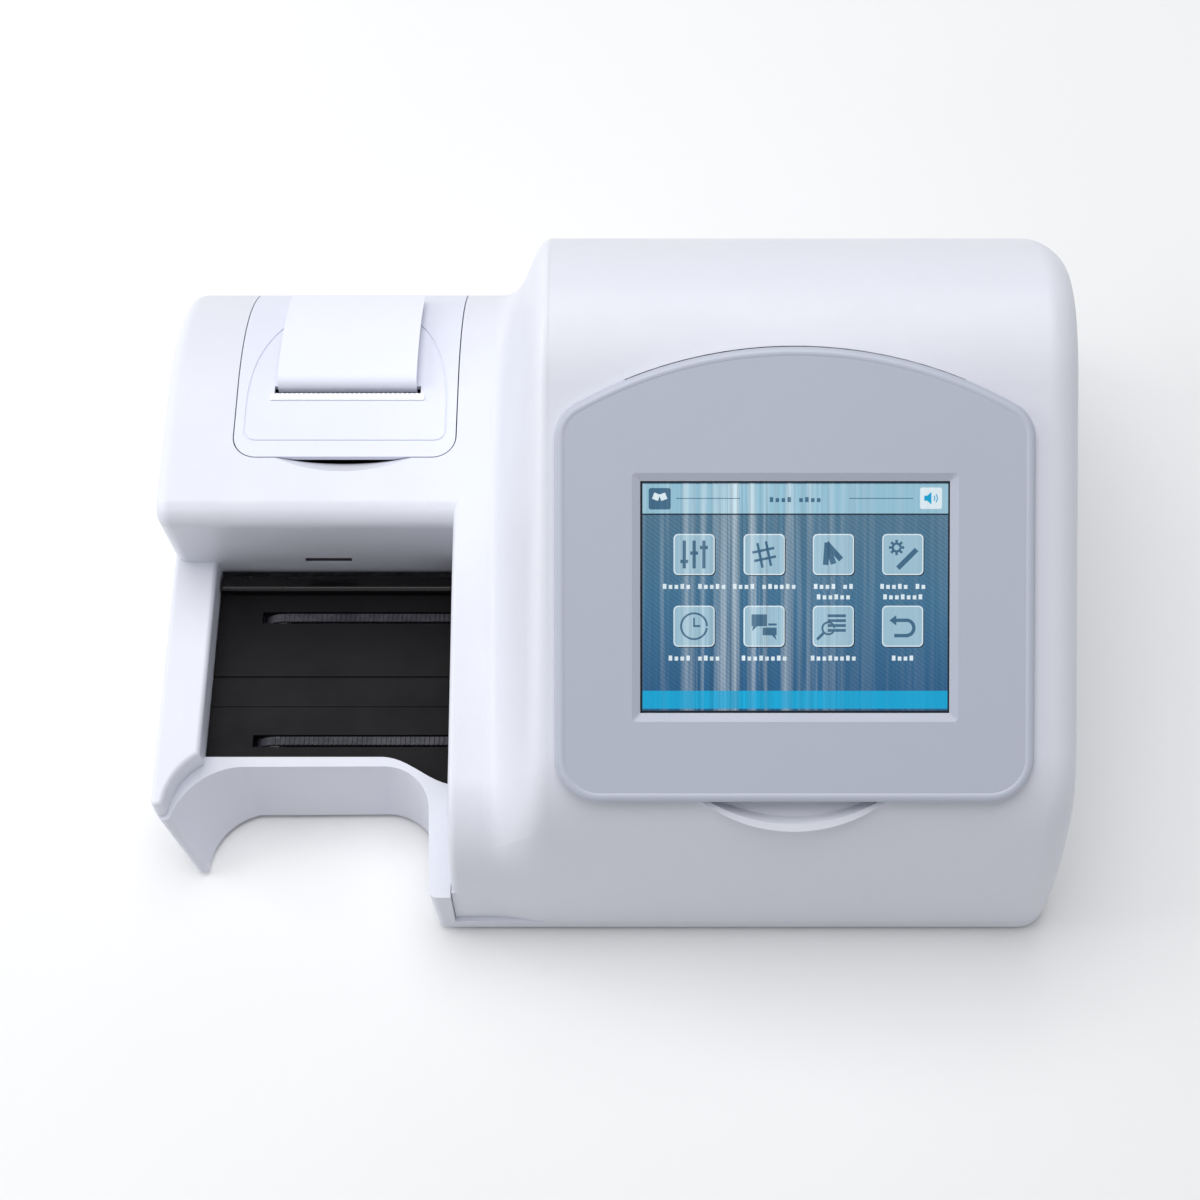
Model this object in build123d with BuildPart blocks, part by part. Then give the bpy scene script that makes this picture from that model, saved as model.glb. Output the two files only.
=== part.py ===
from build123d import *
import os
from math import atan2, cos, pi, radians, sin, sqrt

# Bench-top strip analyser: a sloping display hump on the right, a printer deck on the left and an open
# strip-loading platform in front of the deck. Millimetres, +X right, +Y back, +Z up; the origin is the
# middle of the footprint on the bench.

os.makedirs("parts", exist_ok=True)

# ---------------------------------------------------------------- driving dimensions
WIDTH = 366.0
DEPTH = 283.0
HEIGHT = 195.0
WALL = 3.0
RUN = 0.05  # radial running clearance of shafts and pins
SEAT = 0.3  # gap between a seated piece and its seat
FOOT_HEIGHT = 3.0
SEAM_Z = 10.0  # seam between the lower tub and the hump's walls
LEDGE_Z = 39.5  # top of the tub's tall left part and of the ledge
FLOOR = 3.0

LEFT, RIGHT = -WIDTH / 2, WIDTH / 2
FRONT, BACK = -DEPTH / 2, DEPTH / 2
TUB_Z = FOOT_HEIGHT
FLOOR_Z = TUB_Z + FLOOR

# hump, seen from the side: front wall, sloping face, crown and back
SLOPE = 31.0
SLOPE_LENGTH = 142.5
FRONT_LOW_RADIUS, FRONT_LOW_TURN = 200.0, 18.0
FRONT_TOP_RADIUS = 50.0
CROWN_RADIUS, CROWN_TURN = 75.0, 17.0
BROW_RADIUS, BROW_END = 45.0, 45.0
HUMP_EDGE = 12.0

# shoulder between hump and platform, and the printer deck
SHOULDER_X = -61.0
SHOULDER_FRONT = FRONT + 2.0
SHOULDER_NOSE = 42.0
SHOULDER_SLOPE = 14.0
SHOULDER_BEND = 110.0
SHOULDER_EDGE = 3.0
DECK_Z = 105.0
DECK_BEND_Y = 58.0  # where the deck starts to curve down to the back
DECK_EDGE = 6.0
BROW_EDGE = 9.0
RECESS_FOOT_Y = 4.5  # foot of the recess wall behind the platform
RECESS_LEAN = 8.0
FLANK_LEFT, FLANK_RIGHT = -47.0, -20.0  # hump's left flank, from shoulder to full height
FLANK_STEPS = 8
ARM_TOP_Z = 52.0
ARM_INNER_X = -165.0

# tilting display
PANEL_WIDTH = 182.0
PANEL_LENGTH = 173.0
PANEL_SIDE = 146.8  # height of the straight sides before the arch
PANEL_PROUD = 4.0
PANEL_BACK = 0.4
GLASS_BACK = 1.05
SCOOP_HALF, SCOOP_LOW, SCOOP_DEEP = 41.0, 9.6, 6.0  # crescent under the panel's lower edge
PANEL_CORNER, PANEL_SHOULDER = 17.0, 14.0
PANEL_RIM = 2.6
WINDOW_WIDTH, WINDOW_HEIGHT, WINDOW_MID = 117.4, 88.2, 78.0
WINDOW_BEVEL = 3.2
GLASS = 1.1
LCD_WIDTH, LCD_HEIGHT, LCD_DEPTH = 128.0, 98.0, 7.0
POD_WIDTH, POD_HEIGHT, POD_DEPTH = 150.0, 112.0, 19.0
TILT_AT = 165.5  # distance of the tilt axis up the panel
TILT_DEEP = 3.2  # and its depth below the panel's face
TILT_BARREL = 2.3
TILT_PIN = 1.1
TILT_HALF = 28.0
POCKET = 5.0
PANEL_GAP = 0.4  # round the arch where it dips into its pocket

# printer lid
LID_LEFT, LID_RIGHT = -153.3, -60.9
LID_FRONT = 24.0
LID_CORNER = 10.0
LID_GAP = 0.5
LID_SKIN = 2.6
LID_HINGE_ANGLE = 62.0  # place of the hinge on the deck's back curve
LID_BARREL = 4.0
LID_SWING = 1.15  # room round the barrel for the lid's lower edge as it swings back
LID_PIN = 1.6
SLOT_Y = 56.5
DISH_HALF, DISH_LOW, DISH_OVER = 28.0, 6.4, 70.0  # dish in front of the lid
GROOVE_WIDE, GROOVE_DEEP = 0.9, 0.5
SLOT_WIDTH, SLOT_OPEN = 61.0, 3.4
PAPER_WIDTH, PAPER_THICK = 57.8, 0.35
SPINDLE = 3.5
PRINT_MODULE = 0.7
PRINTER_PINION_Z = 90.0 - PRINT_MODULE * 17

# strip platform and its two belts
PLATE_Z = 38.0
PLATE_THICK = 3.0
PLATE_FRONT, PLATE_BACK = -80.6, 2.4
PLATE_RIGHT = 88.0
PLATE_FLARE_Y = -93.0
BELT_WIDTH = 3.6
BELT_THICK = 1.5
BELT_ROWS = (-16.8, -73.3)
BELT_PROUD = 0.2
PULLEY = 7.0
PULLEY_Z = PLATE_Z + BELT_PROUD - BELT_THICK - PULLEY
IDLER_X, DRIVE_X = -137.0, 60.0
SHAFT = 2.5
GEAR_MODULE = 1.0
GEAR_TEETH, PINION_TEETH = 28, 12
GEAR_Y, GEAR_THICK = 9.0, 4.0
PINION_X = DRIVE_X + GEAR_MODULE * (GEAR_TEETH + PINION_TEETH) / 2
MOTOR = 14.0

# waste drawer on the right-hand side
DRAWER_LEFT = 95.0
DRAWER_FRONT, DRAWER_BACK = -96.0, -6.0
DRAWER_Z, DRAWER_TOP = 12.0, 34.0
DRAWER_WALL = 1.8

# optical head
HEAD_X = 10.0
ROD_SPAN = 30.0
ROD_Z = 76.0
ROD = 3.0
ROD_FRONT, ROD_BACK = -100.0, 12.0


# ---------------------------------------------------------------- outlines seen from the side
def walk(start, heading, moves, inset=0.0, drop=0.0):
    """Points of a run of lines and clockwise arcs, moved inwards by inset and lengthened by drop at the
    bottom. A move is a length, or a (radius, turn) pair. Each stretch is (first, middle, last)."""
    h = radians(heading)
    y = start[0] + inset * sin(h) - drop * cos(h)
    z = start[1] - inset * cos(h) - drop * sin(h)
    stretches = []
    last = len(moves) - 1
    for i, move in enumerate(moves):
        first = (y, z)
        if isinstance(move, tuple):
            radius, turn = move[0] - inset, radians(move[1])
            cy, cz = y + radius * sin(h), z - radius * cos(h)
            half = h - turn / 2
            middle = (cy - radius * sin(half), cz + radius * cos(half))
            h -= turn
            y, z = cy - radius * sin(h), cz + radius * cos(h)
        else:
            length = move + (drop if i in (0, last) else 0.0)
            y, z = y + length * cos(h), z + length * sin(h)
            middle = ((first[0] + y) / 2, (first[1] + z) / 2)
        stretches.append((first, middle, (y, z)))
    return stretches


def rise(radius, start, end):
    """Height gained by an arc that turns from one heading to another, in degrees."""
    return radius * (cos(radians(end)) - cos(radians(start)))


def run(radius, start, end):
    """Distance gained to the back by the same arc."""
    return radius * (sin(radians(start)) - sin(radians(end)))


FRONT_BEND = 90.0 - FRONT_LOW_TURN
CROWN_END = SLOPE - CROWN_TURN
hump_rise = (
    rise(FRONT_LOW_RADIUS, 90.0, FRONT_BEND)
    + rise(FRONT_TOP_RADIUS, FRONT_BEND, SLOPE)
    + SLOPE_LENGTH * sin(radians(SLOPE))
    + rise(CROWN_RADIUS, SLOPE, CROWN_END)
    + rise(BROW_RADIUS, CROWN_END, 0.0)
)
hump_foot = HEIGHT - SEAM_Z - hump_rise
slope_start_y = FRONT + run(FRONT_LOW_RADIUS, 90.0, FRONT_BEND) + run(FRONT_TOP_RADIUS, FRONT_BEND, SLOPE)
slope_start_z = (
    SEAM_Z + hump_foot + rise(FRONT_LOW_RADIUS, 90.0, FRONT_BEND) + rise(FRONT_TOP_RADIUS, FRONT_BEND, SLOPE)
)
brow_end_y = (
    slope_start_y
    + SLOPE_LENGTH * cos(radians(SLOPE))
    + run(CROWN_RADIUS, SLOPE, CROWN_END)
    + run(BROW_RADIUS, CROWN_END, -BROW_END)
)
BACK_RADIUS = (BACK - brow_end_y) / (1 - sin(radians(BROW_END)))
back_foot = HEIGHT - SEAM_Z - BROW_RADIUS * (1 - cos(radians(BROW_END))) - BACK_RADIUS * cos(radians(BROW_END))

hump_moves = [
    hump_foot,
    (FRONT_LOW_RADIUS, FRONT_LOW_TURN),
    (FRONT_TOP_RADIUS, FRONT_BEND - SLOPE),
    SLOPE_LENGTH,
    (CROWN_RADIUS, CROWN_TURN),
    (BROW_RADIUS, CROWN_END + BROW_END),
    (BACK_RADIUS, 90.0 - BROW_END),
    back_foot,
]

DECK_BACK = BACK - DECK_BEND_Y  # radius of the deck's back curve
DECK_AXIS_Z = DECK_Z - DECK_BACK
nose_turn = (90.0 - SHOULDER_SLOPE) / 2
shoulder_slope_run = (
    0.0 - SHOULDER_FRONT - run(SHOULDER_NOSE, 90.0, SHOULDER_SLOPE) - run(SHOULDER_BEND, SHOULDER_SLOPE, 0.0)
)
shoulder_slope = shoulder_slope_run / cos(radians(SHOULDER_SLOPE))
shoulder_foot = (
    DECK_Z
    - SEAM_Z
    - rise(SHOULDER_NOSE, 90.0, SHOULDER_SLOPE)
    - shoulder_slope * sin(radians(SHOULDER_SLOPE))
    - rise(SHOULDER_BEND, SHOULDER_SLOPE, 0.0)
)
shoulder_moves = [
    shoulder_foot,
    (SHOULDER_NOSE, nose_turn),
    (SHOULDER_NOSE, nose_turn),
    shoulder_slope,
    (SHOULDER_BEND, SHOULDER_SLOPE),
    DECK_BEND_Y,
    (DECK_BACK, 90.0),
    DECK_AXIS_Z - SEAM_Z,
]

recess_heading = 90.0 + RECESS_LEAN
recess_length = (DECK_Z - LEDGE_Z - rise(BROW_EDGE, recess_heading, 0.0)) / sin(radians(recess_heading))
deck_start_y = (
    RECESS_FOOT_Y + recess_length * cos(radians(recess_heading)) + run(BROW_EDGE, recess_heading, 0.0)
)
deck_moves = [
    recess_length,
    (BROW_EDGE, recess_heading),
    DECK_BEND_Y - deck_start_y,
    (DECK_BACK, 90.0),
    DECK_AXIS_Z - LEDGE_Z,
]


def hump_outline(inset=0.0, drop=0.0):
    return walk((FRONT, SEAM_Z), 90.0, hump_moves, inset, drop)


def shoulder_outline(inset=0.0, drop=0.0):
    return walk((SHOULDER_FRONT, SEAM_Z), 90.0, shoulder_moves, inset, drop)


def deck_outline(inset=0.0, drop=LEDGE_Z - SEAM_Z):
    return walk((RECESS_FOOT_Y, LEDGE_Z), recess_heading, deck_moves, inset, drop)


def bow(first, middle, last):
    """How far the middle of a stretch stands off its chord."""
    dy, dz = last[0] - first[0], last[1] - first[1]
    return abs((middle[0] - first[0]) * dz - (middle[1] - first[1]) * dy) / sqrt(dy * dy + dz * dz)


def traced(first, middle, last, count=6):
    """Points along a stretch, then its direction times its length at the two ends."""
    if bow(first, middle, last) < 0.001:
        way = (last[0] - first[0], last[1] - first[1])
        points = [(first[0] + way[0] * i / count, first[1] + way[1] * i / count) for i in range(count + 1)]
        return points + [way, way]
    ax, ay = middle[0] - first[0], middle[1] - first[1]
    bx, by = last[0] - first[0], last[1] - first[1]
    d = 2 * (ax * by - ay * bx)
    ux = (by * (ax * ax + ay * ay) - ay * (bx * bx + by * by)) / d
    uy = (ax * (bx * bx + by * by) - bx * (ax * ax + ay * ay)) / d
    cy, cz = first[0] + ux, first[1] + uy
    radius = sqrt(ux * ux + uy * uy)
    start = atan2(first[1] - cz, first[0] - cy)
    turn = (start - atan2(last[1] - cz, last[0] - cy)) % (2 * pi)
    angles = [start - turn * i / count for i in range(count + 1)]
    points = [(cy + radius * cos(t), cz + radius * sin(t)) for t in angles]
    ends = [(radius * turn * sin(t), -radius * turn * cos(t)) for t in (angles[0], angles[-1])]
    return points + ends


def mixed(a, b, share):
    """Traced stretches part of the way from a to b."""
    return [
        [(p[0] + (q[0] - p[0]) * share, p[1] + (q[1] - p[1]) * share) for p, q in zip(s, t)]
        for s, t in zip(a, b)
    ]


def outline_face(stretches):
    """The filled outline of traced stretches, flat, with Y across and Z up."""
    with BuildSketch() as section:
        with BuildLine():
            for *points, start, end in stretches:
                straight = max(bow(points[0], p, points[-1]) for p in points[1:-1]) < 0.001
                if straight:
                    Line(points[0], points[-1])
                else:
                    Spline(*points, tangents=(start, end))
            Line(stretches[-1][-3], stretches[0][0])
        make_face()
    return section.sketch


def side_block(stretches, x0, x1, edge=0.0, side=1):
    """The outline extruded from x0 to x1, its outer rim on one side rounded."""
    with BuildPart() as block:
        with BuildSketch(Plane.YZ.offset(x0)):
            add(outline_face([traced(*s) for s in stretches]))
        extrude(amount=x1 - x0)
        if edge:
            face = block.faces().sort_by(Axis.X)[-1 if side > 0 else 0]
            low = min(p[1] for s in stretches for p in s)
            rim = [e for e in face.edges() if e.bounding_box().max.Z > low + 0.01]
            fillet(rim, radius=edge)
    return block.part


def flank(inset=0.0, drop=0.0, shift=0.0):
    """The hump's left flank: an S-shaped blend from the shoulder's outline to the hump's."""
    low = [traced(*s) for s in shoulder_outline(inset, drop)]
    high = [traced(*s) for s in hump_outline(inset, drop)]
    sections = []
    for i in range(FLANK_STEPS + 1):
        t = i / FLANK_STEPS
        share = t * t * t * (10 - 15 * t + 6 * t * t)
        stretches = mixed(low, high, share)
        with BuildSketch(Plane.YZ.offset(FLANK_LEFT + shift + (FLANK_RIGHT - FLANK_LEFT) * t)) as section:
            with BuildLine():
                for *points, start, end in stretches:
                    Spline(*points, tangents=(start, end))
                Line(stretches[-1][-3], stretches[0][0])
            make_face()
        sections.append(section.sketch.faces()[0])
    with BuildPart() as blend:
        loft(sections)
    return blend.part


def housing_form(inset=0.0, drop=0.0):
    """Hump, flank, shoulder and deck in one, moved inwards by inset."""
    start, middle = FLANK_LEFT + inset, FLANK_RIGHT + inset
    shoulder = shoulder_outline(inset, drop)
    with BuildPart() as form:
        add(side_block(hump_outline(inset, drop), middle, RIGHT - inset, HUMP_EDGE - inset))
        add(flank(inset, drop, inset))
        add(side_block(shoulder, SHOULDER_X + inset, start, max(SHOULDER_EDGE - inset, 0.0), -1))
        deck = deck_outline(inset, max(drop, LEDGE_Z - SEAM_Z))
        add(side_block(deck, LEFT + inset, start, DECK_EDGE - inset, -1))
    return form.part


def box(x0, x1, y0, y1, z0, z1):
    """A plain block between two corners."""
    with BuildPart() as block:
        with Locations(((x0 + x1) / 2, (y0 + y1) / 2, (z0 + z1) / 2)):
            Box(x1 - x0, y1 - y0, z1 - z0)
    return block.part


def rod(radius, start, end, place, along):
    """A round bar along X, Y or Z from start to end; place is its middle in the other two axes."""
    plane = {"X": Plane.YZ.offset(start), "Y": Plane.XZ.offset(-start), "Z": Plane.XY.offset(start)}[along]
    with BuildPart() as bar:
        with BuildSketch(plane):
            with Locations(place):
                Circle(radius)
        extrude(amount=start - end if along == "Y" else end - start)
    return bar.part


def save(piece, name):
    piece.part.label = name
    export_step(piece.part, f"parts/{name}.step")


# ---------------------------------------------------------------- upper housing
# the display's own plane: origin at the middle of the panel's bottom edge, x across, y up the slope
PANEL_X = (FLANK_LEFT + 10.8 + RIGHT) / 2
panel_start = (PANEL_LENGTH - SLOPE_LENGTH) * 0.57
slope_dir = (0.0, cos(radians(SLOPE)), sin(radians(SLOPE)))
face_dir = (0.0, -sin(radians(SLOPE)), cos(radians(SLOPE)))


def on_slope(up, out):
    """World point on the display's middle line, up the slope and out from the housing's face."""
    y = slope_start_y + (up - panel_start) * slope_dir[1] + out * face_dir[1]
    z = slope_start_z + (up - panel_start) * slope_dir[2] + out * face_dir[2]
    return (PANEL_X, y, z)


def slope_plane(out=0.0):
    """The housing's sloping face, or a plane at a distance out from it."""
    return Plane(origin=on_slope(0.0, out), x_dir=(1, 0, 0), z_dir=face_dir)


lid_axis_y = DECK_BEND_Y + (DECK_BACK - LID_BARREL) * sin(radians(LID_HINGE_ANGLE))
lid_axis_z = DECK_AXIS_Z + (DECK_BACK - LID_BARREL) * cos(radians(LID_HINGE_ANGLE))

outer_form = housing_form()
inner_form = housing_form(WALL, 30.0)


def lid_prism(gap, low, high):
    """The lid's plan outline, round at its two front corners, as an upright prism."""
    with BuildPart() as prism:
        with BuildSketch(Plane.XY.offset(low)):
            with BuildLine():
                x0, x1, y0 = LID_LEFT + gap, LID_RIGHT - gap, LID_FRONT + gap
                FilletPolyline(
                    (x0, BACK + 5), (x0, y0), (x1, y0), (x1, BACK + 5), radius=LID_CORNER - gap
                )
                Line((x1, BACK + 5), (x0, BACK + 5))
            make_face()
        extrude(amount=high - low)
    return prism.part


REAR_X0, REAR_X1, REAR_Z0, REAR_Z1, REAR_Y = 16.0, 150.0, 14.0, 60.0, 129.0
WELL_SIDE, WELL_LOW, WELL_DEPTH = 1.5, 3.0, 24.0
POD_START = WINDOW_MID - POD_HEIGHT / 2
TUNNEL_TOP = 58.0
SENSOR_X, SENSOR_Z, SENSOR_W, SENSOR_H = -117.3, 54.5, 20.0, 5.5
screw_places = [(RIGHT - 8.0, FRONT + 22.0), (RIGHT - 8.0, BACK - 22.0)]

with BuildPart() as arm_form:
    # the arm beside the platform: its front end follows the cut-out's rim
    with BuildSketch(Plane.XY.offset(LEDGE_Z)):
        with BuildLine():
            Line((ARM_INNER_X, RECESS_FOOT_Y + WALL), (LEFT, RECESS_FOOT_Y + WALL))
            Line((LEFT, RECESS_FOOT_Y + WALL), (LEFT, -104.0))
            ThreePointArc((LEFT, -104.0), (LEFT + 2.4, -107.0), (LEFT + 5.0, -105.0))
            ThreePointArc((LEFT + 5.0, -105.0), (-173.5, -92.5), (ARM_INNER_X, -84.6))
            Line((ARM_INNER_X, -84.6), (ARM_INNER_X, RECESS_FOOT_Y + WALL))
        make_face()
    extrude(amount=ARM_TOP_Z - LEDGE_Z)
    arm_top = arm_form.faces().sort_by(Axis.Z)[-1].edges()
    fillet([e for e in arm_top if e.center().Y < RECESS_FOOT_Y], radius=2.0)

SLOPE_OUT = Axis((0, 0, 0), face_dir)
SLOPE_AXIS = on_slope(TILT_AT, PANEL_PROUD - TILT_DEEP)[1:]
lid_mid = (LID_LEFT + LID_RIGHT) / 2


def panel_outline(grow=0.0):
    """The display panel's outline on its own plane: round corners below, a low arch on top."""
    half, low = PANEL_WIDTH / 2 + grow, -grow
    with BuildSketch() as outline:
        with BuildLine():
            Polyline((-half, PANEL_SIDE), (-half, low), (half, low), (half, PANEL_SIDE))
            ThreePointArc((half, PANEL_SIDE), (0, PANEL_LENGTH + grow), (-half, PANEL_SIDE))
        make_face()
        corners = outline.vertices().sort_by(Axis.Y)
        fillet(corners[:2], radius=PANEL_CORNER)
        fillet(outline.vertices().sort_by(Axis.Y)[-2:], radius=PANEL_SHOULDER)
    return outline.sketch


with BuildPart() as rear_frame:
    # deep frame round the rear connectors, trimmed by the housing's curved back
    with BuildSketch(Plane.XZ.offset(-REAR_Y - 0.2)):
        with Locations(((REAR_X0 + REAR_X1) / 2, (REAR_Z0 + REAR_Z1) / 2)):
            Rectangle(REAR_X1 - REAR_X0 + 4, REAR_Z1 - REAR_Z0 + 4)
            Rectangle(REAR_X1 - REAR_X0, REAR_Z1 - REAR_Z0, mode=Mode.SUBTRACT)
    extrude(amount=REAR_Y + 0.2 - BACK)
    add(outer_form, mode=Mode.INTERSECT)



def crescent(out, half, low, top=5.0):
    """A crescent on the sloping face, its straight side hidden under the panel."""
    with BuildSketch(slope_plane(out)) as shape:
        with BuildLine():
            ThreePointArc((-half, top), (0, -low), (half, top))
            Line((half, top), (-half, top))
        make_face()
    return shape.sketch.faces()[0]


with BuildPart() as scoop_pad:
    # thicker wall behind the finger scoop
    loft([crescent(-WALL / 2, SCOOP_HALF + 3.0, SCOOP_LOW + 2.6, 7.0),
          crescent(-SCOOP_DEEP - 2.4, SCOOP_HALF + 1.0, SCOOP_LOW + 0.6, 7.0)], ruled=True)

with BuildPart() as scoop_cut:
    # finger scoop: a bevelled rim and a leaning wall down to a flat floor
    loft([crescent(0.6, SCOOP_HALF + 1.6, SCOOP_LOW + 1.6), crescent(-1.0, SCOOP_HALF, SCOOP_LOW),
          crescent(-SCOOP_DEEP, SCOOP_HALF - 2.6, SCOOP_LOW - 2.6)], ruled=True)

with BuildPart() as dish:
    # part of a ball, deepest at the lid's front edge
    ring = (DISH_HALF ** 2 + DISH_LOW ** 2) / (2 * DISH_LOW)
    with Locations((lid_mid, LID_FRONT + ring - DISH_LOW, DECK_Z + DISH_OVER)):
        Sphere(radius=sqrt(ring ** 2 + DISH_OVER ** 2))
    add(box(lid_mid - DISH_HALF - 2, lid_mid + DISH_HALF + 2, LID_FRONT - 10.0, LID_FRONT + 0.1, DECK_Z - 8.0,
            DECK_Z + 1.0), mode=Mode.INTERSECT)

with BuildPart() as upper_housing:
    add(outer_form)
    add(inner_form, mode=Mode.SUBTRACT)
    add(box(LEFT - 1, SHOULDER_X, FRONT - 1, BACK + 1, 0.0, LEDGE_Z), mode=Mode.SUBTRACT)
    add(arm_form.part)
    # the display's well, open towards the slope, with a floor and walls of its own
    with BuildSketch(slope_plane(-0.1)):
        with Locations((0, WINDOW_MID)):
            Rectangle(POD_WIDTH + 2 * (WELL_SIDE + 2.0), POD_HEIGHT + 2 * WELL_LOW + 4.0)
    extrude(amount=-WELL_DEPTH)
    add(box(PANEL_X - 55, PANEL_X + 55, SLOPE_AXIS[0] - 4, SLOPE_AXIS[0] + 12, SLOPE_AXIS[1] - 12,
            SLOPE_AXIS[1] - 3))
    with BuildSketch(slope_plane(PANEL_PROUD)):
        with Locations((0, WINDOW_MID)):
            RectangleRounded(POD_WIDTH + 2 * WELL_SIDE, POD_HEIGHT + 2 * WELL_LOW, 4.0)
    extrude(amount=-WELL_DEPTH - PANEL_PROUD + 2.0, mode=Mode.SUBTRACT)
    # finger scoop under the panel's bottom edge
    add(scoop_pad.part)
    add(scoop_cut.part, mode=Mode.SUBTRACT)
    # pocket and ears of the tilt hinge under the top of the arch
    with BuildSketch(slope_plane(PANEL_PROUD)):
        add(panel_outline(PANEL_GAP))
        with Locations((0, TILT_AT - 57.0)):
            Rectangle(PANEL_WIDTH + 10, 104.0, mode=Mode.SUBTRACT)
        with Locations((0, 40.0)):
            Rectangle(PANEL_WIDTH + 10, 120.0, mode=Mode.SUBTRACT)
    extrude(amount=-PANEL_PROUD - POCKET, mode=Mode.SUBTRACT)
    for side in (-1, 1):
        x = PANEL_X + side * (TILT_HALF - 1.5)
        with BuildSketch(slope_plane(-POCKET - 1.0)):
            with Locations((side * (TILT_HALF - 1.5), TILT_AT)):
                Rectangle(3.0, 2.4)
        extrude(amount=POCKET + 1.0 + PANEL_PROUD - TILT_DEEP)
        add(rod(1.9, x - 1.5, x + 1.5, SLOPE_AXIS, "X"))
    add(rod(TILT_PIN + 0.01, PANEL_X - TILT_HALF, PANEL_X + TILT_HALF, SLOPE_AXIS, "X"), mode=Mode.SUBTRACT)
    # printer opening with the hinge groove and its two ears
    add(lid_prism(0.0, lid_axis_z - 0.8, DECK_Z + 5.0), mode=Mode.SUBTRACT)
    for x0, x1 in ((LID_LEFT - 5.0, LID_LEFT), (LID_RIGHT, LID_RIGHT + 5.0)):
        add(rod(LID_BARREL - 0.2, x0, x1, (lid_axis_y, lid_axis_z), "X"))
    add(rod(LID_BARREL + LID_SWING, LID_LEFT, LID_RIGHT, (lid_axis_y, lid_axis_z), "X"), mode=Mode.SUBTRACT)
    add(rod(LID_PIN + RUN, LID_LEFT - 4.0, LID_RIGHT + 4.0, (lid_axis_y, lid_axis_z), "X"), mode=Mode.SUBTRACT)
    # dished crescent in front of the lid, with its own floor
    add(box(lid_mid - 31.0, lid_mid + 31.0, LID_FRONT - 10.0, LID_FRONT, DECK_Z - 8.4, DECK_Z - 2.0))
    add(dish.part, mode=Mode.SUBTRACT)
    # the shoulder's corner stays square below the ledge
    add(box(SHOULDER_X, SHOULDER_X + 5.0, SHOULDER_FRONT, SHOULDER_FRONT + 5.0, SEAM_Z, LEDGE_Z))
    # tunnel in the shoulder's wall, where strips and belts pass to the right
    add(box(SHOULDER_X - 1, SHOULDER_X + WALL + 1, PLATE_FLARE_Y - 1.0, 3.0, 0.0, TUNNEL_TOP), mode=Mode.SUBTRACT)
    # strip sensor's window
    add(box(SENSOR_X - SENSOR_W / 2, SENSOR_X + SENSOR_W / 2, -20.0, 20.0, SENSOR_Z - SENSOR_H / 2,
            SENSOR_Z + SENSOR_H / 2), mode=Mode.SUBTRACT)
    # waste drawer's opening
    add(box(RIGHT - 2 * WALL, RIGHT + 1, DRAWER_FRONT - 0.5, DRAWER_BACK + 0.5, 0.0, DRAWER_TOP + 4.0),
        mode=Mode.SUBTRACT)
    # rear connectors
    add(rear_frame.part)
    add(box(REAR_X0, REAR_X1, REAR_Y, BACK + 1, REAR_Z0, REAR_Z1), mode=Mode.SUBTRACT)
    # screw posts beside the right-hand wall
    for x, y in screw_places:
        add(rod(5.5, SEAM_Z, SEAM_Z + 24.0, (x, y), "Z"))
        add(rod(1.3, SEAM_Z - 1, SEAM_Z + 18.0, (x, y), "Z"), mode=Mode.SUBTRACT)
save(upper_housing, "upper_housing")

# ---------------------------------------------------------------- lower housing
BAY_LOW = [(-183, 135.5), (-183, -60), (-179.84, -88.44), (-170.5, -115.5), (-168, -118), (-165.5, -114.5),
           (-161.5, -103.5), (-146, -92.6), (-90, -92.2), (-77.5, -97.5), (-70, -112), (-68.5, -137),
           (-67.6, -140.4), (-64.5, -141.5), (-61.3, -141.5), (-61.3, 141.5), (-177, 141.5), (-181.2, 139.7)]
BAY_TOP = [(-183, 133.5), (-183, -75), (-182.75, -90.8), (-182, -106.5), (-179.5, -108.6), (-176.5, -106),
           (-168.5, -93.5), (-150, -85.4), (-90, -85.2), (-76.5, -91.5), (-71.5, -104), (-70, -137),
           (-69.2, -140.4), (-66, -141.5), (-61.3, -141.5), (-61.3, 139.5), (-177, 139.5), (-181.2, 137.7)]
bearings = [(y0, y0 + 4.0) for y0 in (-64.0, -28.0)]
foot_places = {
    "foot_front_left": (-160.0, -72.0),
    "foot_back_left": (-160.0, 118.0),
    "foot_front_right": (160.0, -118.0),
    "foot_back_right": (160.0, 118.0),
}
board_bosses = [(28.0, 58.0), (162.0, 58.0), (28.0, 117.0), (162.0, 117.0)]


def bay_plan(p, z):
    """The tub's left part in plan, with the bay's S-shaped front edge and the horn."""
    with BuildSketch(Plane.XY.offset(z)) as plan:
        with BuildLine():
            Line(p[0], p[1])
            ThreePointArc(p[1], p[2], p[3])
            ThreePointArc(p[3], p[4], p[5])
            ThreePointArc(p[5], p[6], p[7])
            Line(p[7], p[8])
            ThreePointArc(p[8], p[9], p[10])
            Line(p[10], p[11])
            ThreePointArc(p[11], p[12], p[13])
            Line(p[13], p[14])
            Line(p[14], p[15])
            Line(p[15], p[16])
            ThreePointArc(p[16], p[17], p[0])
        make_face()
    return plan.sketch.faces()[0]


def platform_plan(gap=0.0, z=0.0):
    """The strip platform in plan: its front edge swings forward before the shoulder."""
    left, front, right = -164.6 - gap, PLATE_FRONT - gap, PLATE_RIGHT
    flare = PLATE_FLARE_Y - gap
    with BuildSketch(Plane.XY.offset(z)) as plan:
        with BuildLine():
            Polyline((right, flare), (right, PLATE_BACK), (left, PLATE_BACK), (left, front), (-92.0, front))
            Bezier((-92.0, front), (-80.0, front), (-72.0, flare), (-61.5, flare))
            Line((-61.5, flare), (right, flare))
        make_face()
    return plan.sketch


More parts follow.
